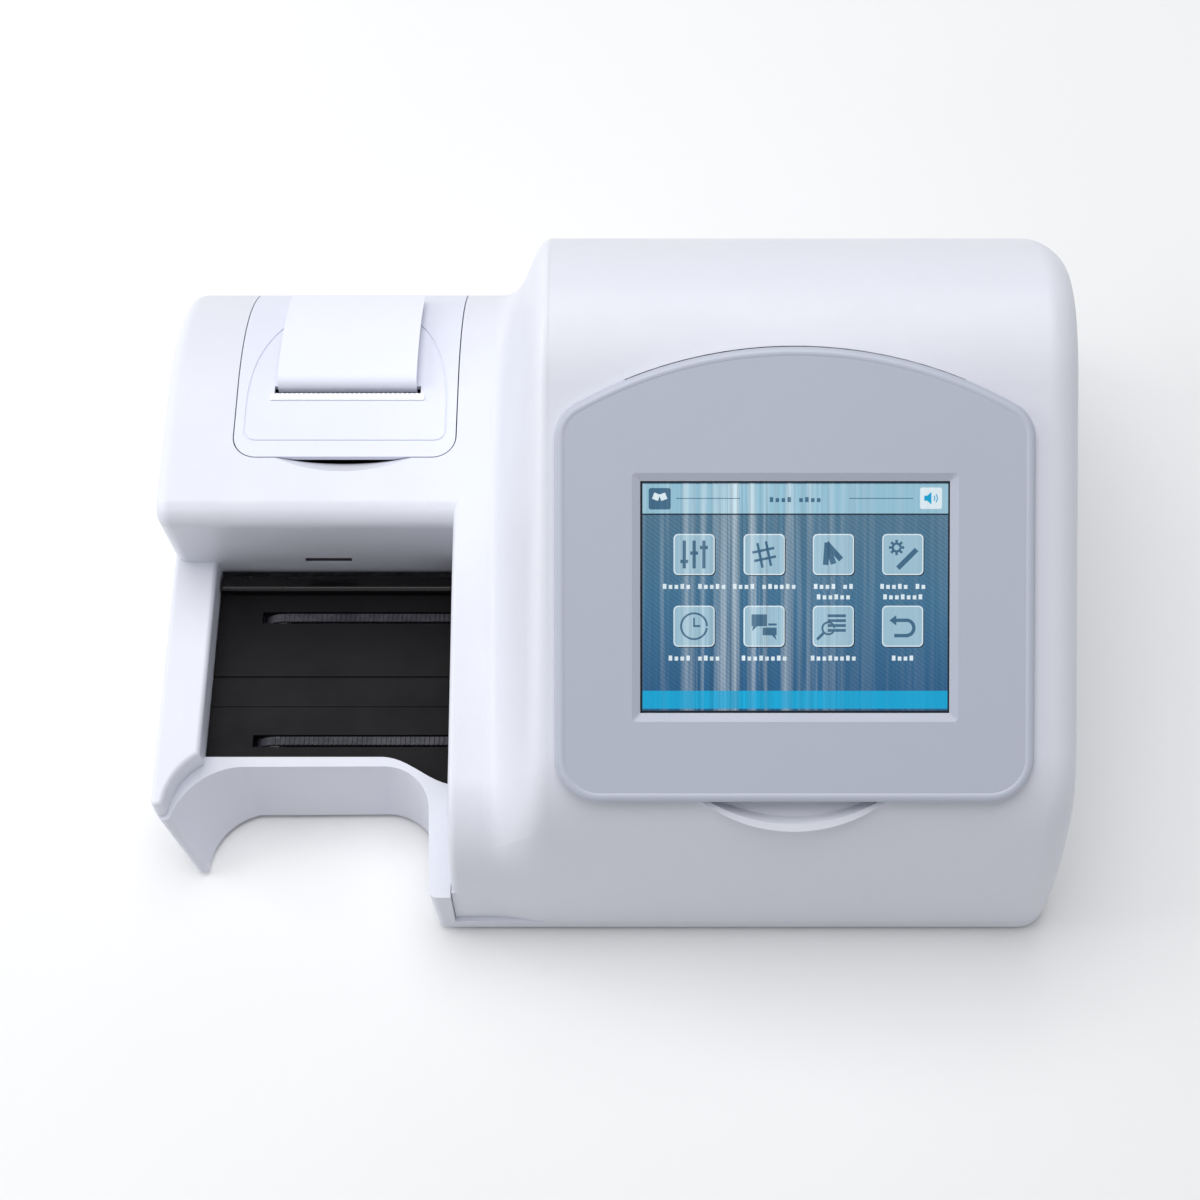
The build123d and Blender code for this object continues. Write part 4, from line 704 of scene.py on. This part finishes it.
BUBBLES = [
    bar(-0.9, 0.0, 0.2, 0.85),
    [(-0.8, 0.0), (-0.5, 0.0), (-0.85, -0.35)],
    bar(0.3, 0.05, 0.9, 0.2),
    bar(-0.1, -0.65, 0.9, -0.1),
    [(0.55, -0.65), (0.8, -0.65), (0.9, -1.0)],
]
PAGE = [
    *(bar(-0.4, 0.65 - 0.35 * i, 0.9, 0.85 - 0.35 * i) for i in range(4)),
    hoop(-0.35, -0.15, 0.5, 0.14),
    *slanted([bar(-0.1, -0.65, 0.1, 0.0)], -45.0, -0.7, -0.5),
]
RETURN = [
    bar(-0.5, 0.3, 0.3, 0.55),
    bar(-0.6, -0.8, 0.3, -0.55),
    hoop(0.25, -0.12, 0.68, 0.25, -90.0, 90.0),
    [(-0.95, 0.42), (-0.45, 0.05), (-0.45, 0.8)],
]
SIGNS = (SLIDERS, GRID, FAN, COG_AND_RULE, CLOCK, BUBBLES, PAGE, RETURN)
BOOK = [
    *slanted([bar(-0.75, -0.3, -0.08, 0.4)], -20.0),
    *slanted([bar(0.08, -0.3, 0.75, 0.4)], 20.0),
]
SPEAKER = [
    bar(-0.8, -0.3, -0.4, 0.3),
    [(-0.45, -0.3), (0.05, -0.75), (0.05, 0.75), (-0.45, 0.3)],
    *(hoop(0.0, 0.0, r, 0.12, -40.0, 40.0) for r in (0.5, 0.8)),
]

# Lengths of the blank marks under each tile; a slash starts a second line
LABELS = ("5 5", "4 6", "4 2/6", "5 2/7", "4 4", "8", "8", "4")


# ---------------------------------------------------------------- operators
def dress(nodes, material):
    """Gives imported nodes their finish."""
    for node in nodes:
        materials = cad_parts[node].data.materials
        materials.clear()
        materials.append(material)


class AnalyserDressHousing(bpy.types.Operator):
    """Finish the shell, the tub, the lid and the drawer in grained plastic"""

    bl_idname = "analyser.dress_housing"
    bl_label = "Dress Housing"

    def execute(self, context):
        look = context.scene.analyser_housing
        dress(["upper_housing"], plastic("shell_plastic", look.shell, look.grain, 0.42))
        dress(["lower_housing"], plastic("tub_plastic", look.tub, look.grain, 0.45))
        dress(["printer_lid"], plastic("lid_plastic", look.lid, look.grain, 0.40))
        dress(["waste_drawer"], plastic("drawer_plastic", look.shell, look.grain, 0.46))
        feet = [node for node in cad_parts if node.startswith("foot_")]
        dress(feet, rubber("foot_rubber", (48, 48, 52)))
        return {"FINISHED"}


class AnalyserDressDisplay(bpy.types.Operator):
    """Finish the display's frame, glass and pod, and light its screen"""

    bl_idname = "analyser.dress_display"
    bl_label = "Dress Display"

    def execute(self, context):
        look, screen = context.scene.analyser_housing, context.scene.analyser_screen
        dress(["display_bezel"], plastic("panel_plastic", look.panel, 1500.0, 0.38, 0.2))
        dress(["display_back"], plastic("pod_plastic", (150, 155, 167), 1500.0, 0.5))
        dress(["touch_glass"], glass("screen_glass"))
        dress(["lcd_module"], metal("lcd_can", (150, 152, 156), 0.4))
        dress(["display_board"], circuit("display_board_mask"))
        dress(["tilt_pin"], metal("pin_steel", (190, 190, 194), 0.25))
        self.rim(screen)
        self.picture(screen)
        return {"FINISHED"}

    def rim(self, screen):
        """The raised rim along the panel's outline, in the panel's plastic made a little lighter as
        a painted highlight.
        """
        rings = (
            (1.2, PANEL_FACE),
            (1.7, RIM_TOP),
            (screen.rim + 0.6, RIM_TOP),
            (screen.rim + 1.1, PANEL_FACE),
        )
        points, faces = [], []
        count = len(panel_outline(0.0))
        for inset, out in rings:
            points += [on_slope(x, up, out) for x, up in panel_outline(inset)]
        for k in range(len(rings) - 1):
            near, far = k * count, (k + 1) * count
            for i in range(count):
                j = (i + 1) % count
                faces.append([near + i, near + j, far + j, far + i])
        piece = mesh_piece("panel_rim", points, faces, "display", True)
        # painted highlight: the rim's plastic is the panel's colour made a little lighter
        piece.data.materials.append(plastic("rim_painted_highlight_plastic", (190, 195, 209), 1500.0, 0.36, 0.2))

    def picture(self, screen):
        """A generic menu: a pale top bar, eight tiles on a hatched field, a bright bottom bar."""
        glow = screen.glow
        field = lit("screen_field", (66, 116, 150), glow, 0.5, 0.16, field_blue)
        pale = lit("screen_pale", (150, 194, 214), glow, 0.75)
        dark = lit("screen_dark", (14, 34, 50), glow, 0.05)
        ink = lit("screen_ink", (62, 104, 134), glow, 0.12)
        edge = lit("screen_tile_edge", (226, 240, 247), glow, 0.4)
        tile = lit("screen_tile", (158, 194, 212), glow, 0.5)
        cyan = lit("screen_cyan", (0, 164, 212), glow, 0.08)
        black = lit("screen_black", (12, 12, 16), glow, 0.0)
        scale = WINDOW_WIDTH / PICTURE_WIDTH
        left, top = -WINDOW_WIDTH / 2, WINDOW_MIDDLE + WINDOW_HEIGHT / 2

        def patch(name, x0, y0, x1, y1, out, radius, material):
            """A flat patch given in the picture's own units, from its top left corner."""
            cx, cy = left + (x0 + x1) / 2 * scale, top - (y0 + y1) / 2 * scale
            outline = [
                (cx + x, cy + y)
                for x, y in rounded((x1 - x0) * scale, (y1 - y0) * scale, radius)
            ]
            points, faces = slab(outline, out - LAYER_THICK, out, on_slope)
            piece = mesh_piece(name, points, faces, "display")
            piece.data.materials.append(material)

        def sign(name, strokes, x, y, half, material):
            """A plain drawing of thin slabs, its middle and half size in the picture's units."""
            cx, cy = left + x * scale, top - y * scale
            points, faces = [], []
            for stroke in strokes:
                outline = [(cx + half * scale * u, cy + half * scale * v) for u, v in stroke]
                more, sides = slab(outline, SIGN_OUT - LAYER_THICK, SIGN_OUT, on_slope)
                faces += [[len(points) + i for i in face] for face in sides]
                points += more
            piece = mesh_piece(name, points, faces, "display")
            piece.data.materials.append(material)

        def label(name, pattern, x, y, material):
            """Blank marks in place of words, centred on x; a slash starts a second line."""
            strokes = []
            for line, words in enumerate(pattern.split("/")):
                letters = [ch for word in words.split() for ch in "x" * int(word) + " "][:-1]
                low = -LINE_PITCH * line - 2.6
                for i, letter in enumerate(letters):
                    if letter == "x":
                        start = (i - len(letters) / 2 + 0.2) * LETTER_PITCH
                        high = low + (5.0 if i % 3 == 0 else 4.0)
                        strokes.append(bar(start, low, start + 0.6 * LETTER_PITCH, high))
            sign(name, strokes, x, y, 1.0, material)

        total = WINDOW_HEIGHT / scale
        patch("screen_picture", 0, 0, PICTURE_WIDTH, total, FIELD_OUT, 0.3, field)
        patch("screen_top_bar", 1, 3, 309, 32.5, BAR_OUT, 0.1, pale)
        patch("screen_top_line", 1, 32.5, 309, 34, EDGE_OUT, 0.1, dark)
        patch("screen_mark_left", 8.5, 7.0, 30.5, 28.5, MARK_OUT, 0.8, ink)
        sign("screen_book", BOOK, 19.5, 17.5, 9.5, edge)
        patch("screen_mark_right", 280.0, 6.5, 302.0, 28.0, MARK_OUT, 0.8, edge)
        sign("screen_speaker", SPEAKER, 291.0, 17.2, 8.5, cyan)
        label("screen_title", "4 4", 155.0, 18.5, ink)
        for side, x0 in (("left", 36.0), ("right", 209.0)):
            patch(f"screen_rule_{side}", x0, 17.0, x0 + 64.0, 17.8, MARK_OUT, 0.05, ink)
        patch("screen_bottom_bar", 1, 210.5, 309, 228.5, BAR_OUT, 0.1, cyan)
        for name, box in (
            ("top", (0, -0.4, PICTURE_WIDTH, 2.0)),
            ("bottom", (0, total - 2.4, PICTURE_WIDTH, total + 0.4)),
            ("left", (0, 0, 2.3, total)),
            ("right", (308.2, 0, 310.3, total)),
        ):
            patch(f"screen_border_{name}", *box, BORDER_OUT, 0.05, black)
        side = screen.tile / scale
        places = [(x0, y0) for y0 in TILE_ROWS for x0 in TILE_COLUMNS]
        for number, (x0, y0) in enumerate(places, 1):
            x1, y1, x, y = x0 + side, y0 + side, x0 + side / 2, y0 + side / 2
            for kind, box, out, radius, material in (
                ("shadow", (x0 + 1.2, y0 + 1.2, x1 + 0.9, y1 + 0.9), SHADOW_OUT, 1.8, dark),
                ("edge", (x0, y0, x1, y1), EDGE_OUT, 1.8, edge),
                ("tile", (x0 + 1.1, y0 + 1.1, x1 - 1.1, y1 - 1.1), TILE_OUT, 1.5, tile),
            ):
                patch(f"screen_{kind}_{number}", *box, out, radius, material)
            sign(f"screen_sign_{number}", SIGNS[number - 1], x, y, side * 0.34, ink)
            label(f"screen_label_{number}", LABELS[number - 1], x, y0 + 52.5, edge)


class AnalyserDressPrinter(bpy.types.Operator):
    """Finish the printer's frame, rollers, paper and tear bar"""

    bl_idname = "analyser.dress_printer"
    bl_label = "Dress Printer"

    def execute(self, context):
        sheet = paper("thermal_paper", (236, 238, 250))
        dress(["paper_strip", "paper_roll"], sheet)
        dress(["roll_spindle", "tear_bar"], metal("printer_steel", (186, 187, 190), 0.28))
        dress(["printer_frame"], metal("printer_sheet", (176, 178, 182), 0.38, SHEET_LINES))
        dress(["platen_roller"], rubber("platen_rubber", (52, 52, 55)))
        gears = ["platen_gear", "printer_pinion", "drive_gear", "drive_pinion"]
        dress(gears, plastic("gear_nylon", (226, 222, 208), 2400.0, 0.5, 0.15))
        dress(["print_head"], plastic("head_plastic", (52, 52, 55), 1600.0, 0.5))
        dress(["printer_motor"], motor_can())
        return {"FINISHED"}


class AnalyserDressPlatform(bpy.types.Operator):
    """Finish the black strip platform, its stop bar and the toothed belts"""

    bl_idname = "analyser.dress_platform"
    bl_label = "Dress Platform"

    def execute(self, context):
        belts = context.scene.analyser_belts
        for node, name, colour, finish in (
            ("strip_platform", "platform_black", (13, 12, 15), (0.55, 0.22, 0.08, 0.003, 0.12)),
            ("strip_stop_bar", "bar_black", (11, 10, 13), (0.24, 0.05, 0.06, 0.003, 0.3)),
            ("sensor_window", "sensor_filter", (38, 26, 40), (0.12, 0.03, 0.05, 0.0)),
        ):
            dress([node], plastic(name, colour, 2600.0, *finish))
        fabric = rubber("belt_rubber", (36, 36, 46), 0.62)
        for name, row in BELT_ROWS.items():
            dress([name], fabric)
            self.teeth(name, row, belts, fabric)
        steel = metal("roller_steel", (188, 189, 192), 0.24, ALONG_Y)
        dress(["idler_roller", "drive_roller"], steel)
        dress(["belt_motor"], motor_can())
        return {"FINISHED"}

    def teeth(self, name, row, belts, material):
        """Rounded cross ribs along the belt's upper run."""
        points, faces = [], []
        count = int((BELT_STOP - BELT_START) / belts.pitch)
        n = len(TOOTH_PROFILE)
        for k in range(count):
            x = BELT_START + k * belts.pitch
            base = len(points)
            for y in (row - TOOTH_HALF_WIDTH, row + TOOTH_HALF_WIDTH):
                for dx, share in TOOTH_PROFILE:
                    z = BELT_TOP + share * belts.tooth
                    points.append(Vector(((x + dx) * MM, y * MM, z * MM)))
            for i in range(n - 1):
                faces.append([base + i, base + i + 1, base + n + i + 1, base + n + i])
            faces.append([base + i for i in range(n)][::-1])
            faces.append([base + n + i for i in range(n)])
            faces.append([base, base + n, base + 2 * n - 1, base + n - 1])
        piece = mesh_piece(f"{name}_teeth", points, faces, "base")
        piece.data.materials.append(material)


class AnalyserDressOptics(bpy.types.Operator):
    """Finish the reading head, its rods, screw and boards"""

    bl_idname = "analyser.dress_optics"
    bl_label = "Dress Optics"

    def execute(self, context):
        dress(["head_carriage"], plastic("carriage_black", (46, 46, 49), 1600.0, 0.48))
        dress(["head_lens"], metal("lens_barrel", (62, 62, 66), 0.34, (60.0, 60.0, 4000.0)))
        dress(["lamp_board"], circuit("lamp_board_mask"))
        steel = metal("rod_steel", (200, 201, 204), 0.16, (4000.0, 50.0, 4000.0), 0.06)
        dress(["guide_rod_left", "guide_rod_right", "lead_screw"], steel)
        sheet = metal("bracket_sheet", (172, 174, 178), 0.4, SHEET_LINES)
        dress(["rod_bracket_front", "rod_bracket_back"], sheet)
        dress(["head_motor"], motor_can())
        dress(["housing_screws"], metal("screw_steel", (150, 150, 153), 0.3))
        dress(["main_board"], circuit("main_board_mask"))
        return {"FINISHED"}


class AnalyserDressRear(bpy.types.Operator):
    """Finish the rear panel, the mains inlet, the switch and the ports"""

    bl_idname = "analyser.dress_rear"
    bl_label = "Dress Rear"

    def execute(self, context):
        dress(["rear_panel"], plastic("rear_plate", (168, 171, 181), 1700.0, 0.5))
        black = plastic("inlet_black", (38, 38, 41), 1700.0, 0.42)
        dress(["power_inlet", "switch_body"], black)
        dress(["power_rocker"], plastic("rocker_black", (26, 26, 28), 2400.0, 0.25, 0.06))
        dress(["serial_port", "usb_port"], metal("port_nickel", (196, 195, 190), 0.3))
        return {"FINISHED"}


class AnalyserBuildStage(bpy.types.Operator):
    """Set the floor, the soft studio light and the camera"""

    bl_idname = "analyser.build_stage"
    bl_label = "Build Stage"

    def execute(self, context):
        look = context.scene.analyser_stage
        self.floor(look)
        self.world(look)
        self.lamps(look)
        self.camera(context)
        context.scene.view_settings.view_transform = "Standard"
        return {"FINISHED"}

    def floor(self, look):
        """A wide pale floor at the feet."""
        mesh = bpy.data.meshes.new("floor")
        mesh.from_pydata([(-6, -6, 0), (6, -6, 0), (6, 6, 0), (-6, 6, 0)], [], [(0, 1, 2, 3)])
        ground = bpy.data.objects.new("floor", mesh)
        bpy.context.scene.collection.objects.link(ground)
        material, tree, shader, where = blank("floor_white")
        tone = noise(tree, where, 6.0, 2.0, 0.5)
        shade = remap(tree, tone, 0.3, 0.7, look.floor - 0.005, look.floor + 0.005)
        mixed = tree.nodes.new("ShaderNodeCombineColor")
        for socket in mixed.inputs:
            tree.links.new(shade, socket)
        tree.links.new(mixed.outputs[0], shader.inputs["Base Color"])
        shader.inputs["Roughness"].default_value = 0.9
        mesh.materials.append(material)

    def world(self, look):
        """Room light on the object, and white where the camera, gloss or glass sees past it."""
        world = bpy.data.worlds.new("studio")
        bpy.context.scene.world = world
        world.use_nodes = True
        tree = world.node_tree
        tree.nodes.clear()
        out = tree.nodes.new("ShaderNodeOutputWorld")
        mix = tree.nodes.new("ShaderNodeMixShader")
        room = tree.nodes.new("ShaderNodeBackground")
        white = tree.nodes.new("ShaderNodeBackground")
        room.inputs["Color"].default_value = (0.93, 0.95, 1.0, 1.0)
        room.inputs["Strength"].default_value = look.fill
        white.inputs["Color"].default_value = (1.0, 1.0, 1.0, 1.0)
        white.inputs["Strength"].default_value = 1.0
        rays = tree.nodes.new("ShaderNodeLightPath")
        seen = rays.outputs["Is Camera Ray"]
        for ray in ("Is Glossy Ray", "Is Transmission Ray"):
            seen = math_node(tree, "MAXIMUM", seen, rays.outputs[ray])
        tree.links.new(seen, mix.inputs[0])
        tree.links.new(room.outputs[0], mix.inputs[1])
        tree.links.new(white.outputs[0], mix.inputs[2])
        tree.links.new(mix.outputs[0], out.inputs["Surface"])

    def lamps(self, look):
        """A large soft light above and a weak one from the left."""
        for name, place, aim, size, power in (
            ("top_light", (-0.2, 0.5, 2.6), (0.0, 0.0, 0.08), 2.4, look.key),
            ("left_light", (-1.3, 0.1, 0.7), (0.0, 0.0, 0.1), 0.9, look.key * 0.15),
        ):
            data = bpy.data.lights.new(name, "AREA")
            data.shape, data.size, data.energy = "SQUARE", size, power
            lamp = bpy.data.objects.new(name, data)
            lamp.location = place
            towards = Vector(aim) - Vector(place)
            lamp.rotation_euler = towards.to_track_quat("-Z", "Y").to_euler()
            bpy.context.scene.collection.objects.link(lamp)

    def camera(self, context):
        """The photograph's own view, for a square frame."""
        data = bpy.data.cameras.new("camera")
        data.sensor_width, data.sensor_fit = SENSOR, "HORIZONTAL"
        data.lens = PHOTO_FOCAL / PHOTO_SIDE * SENSOR
        data.shift_x = (PHOTO_SIDE / 2 - PHOTO_CENTRE[0]) / PHOTO_SIDE
        data.shift_y = (PHOTO_CENTRE[1] - PHOTO_SIDE / 2) / PHOTO_SIDE
        data.clip_start, data.clip_end = 0.05, 50.0
        camera = bpy.data.objects.new("camera", data)
        camera.location = CAMERA_PLACE
        camera.rotation_euler = (math.radians(90.0 - CAMERA_DOWN), 0.0, 0.0)
        context.scene.collection.objects.link(camera)
        context.scene.camera = camera


OPERATORS = (
    AnalyserDressHousing,
    AnalyserDressDisplay,
    AnalyserDressPrinter,
    AnalyserDressPlatform,
    AnalyserDressOptics,
    AnalyserDressRear,
    AnalyserBuildStage,
)


LOOKS = (
    ("analyser_housing", AnalyserHousingLook),
    ("analyser_screen", AnalyserScreenLook),
    ("analyser_belts", AnalyserBeltLook),
    ("analyser_stage", AnalyserStageLook),
)


class AnalyserPanel(bpy.types.Panel):
    """Lists the dressing steps and their settings"""

    bl_idname = "VIEW3D_PT_analyser"
    bl_label = "Strip Analyser"
    bl_space_type = "VIEW_3D"
    bl_region_type = "UI"
    bl_category = "Analyser"

    def draw(self, context):
        for operator in OPERATORS:
            self.layout.operator(operator.bl_idname)
        for name, look in LOOKS:
            box = self.layout.box()
            for key in look.__annotations__:
                box.prop(getattr(context.scene, name), key)


def register():
    for name, look in LOOKS:
        bpy.utils.register_class(look)
        setattr(bpy.types.Scene, name, bpy.props.PointerProperty(type=look))
    for operator in OPERATORS:
        bpy.utils.register_class(operator)
    bpy.utils.register_class(AnalyserPanel)


def unregister():
    bpy.utils.unregister_class(AnalyserPanel)
    for operator in reversed(OPERATORS):
        bpy.utils.unregister_class(operator)
    for name, look in reversed(LOOKS):
        delattr(bpy.types.Scene, name)
        bpy.utils.unregister_class(look)


def main():
    register()
    bpy.ops.analyser.dress_housing()
    bpy.ops.analyser.dress_display()
    bpy.ops.analyser.dress_printer()
    bpy.ops.analyser.dress_platform()
    bpy.ops.analyser.dress_optics()
    bpy.ops.analyser.dress_rear()
    bpy.ops.analyser.build_stage()


if __name__ == "__main__":
    main()
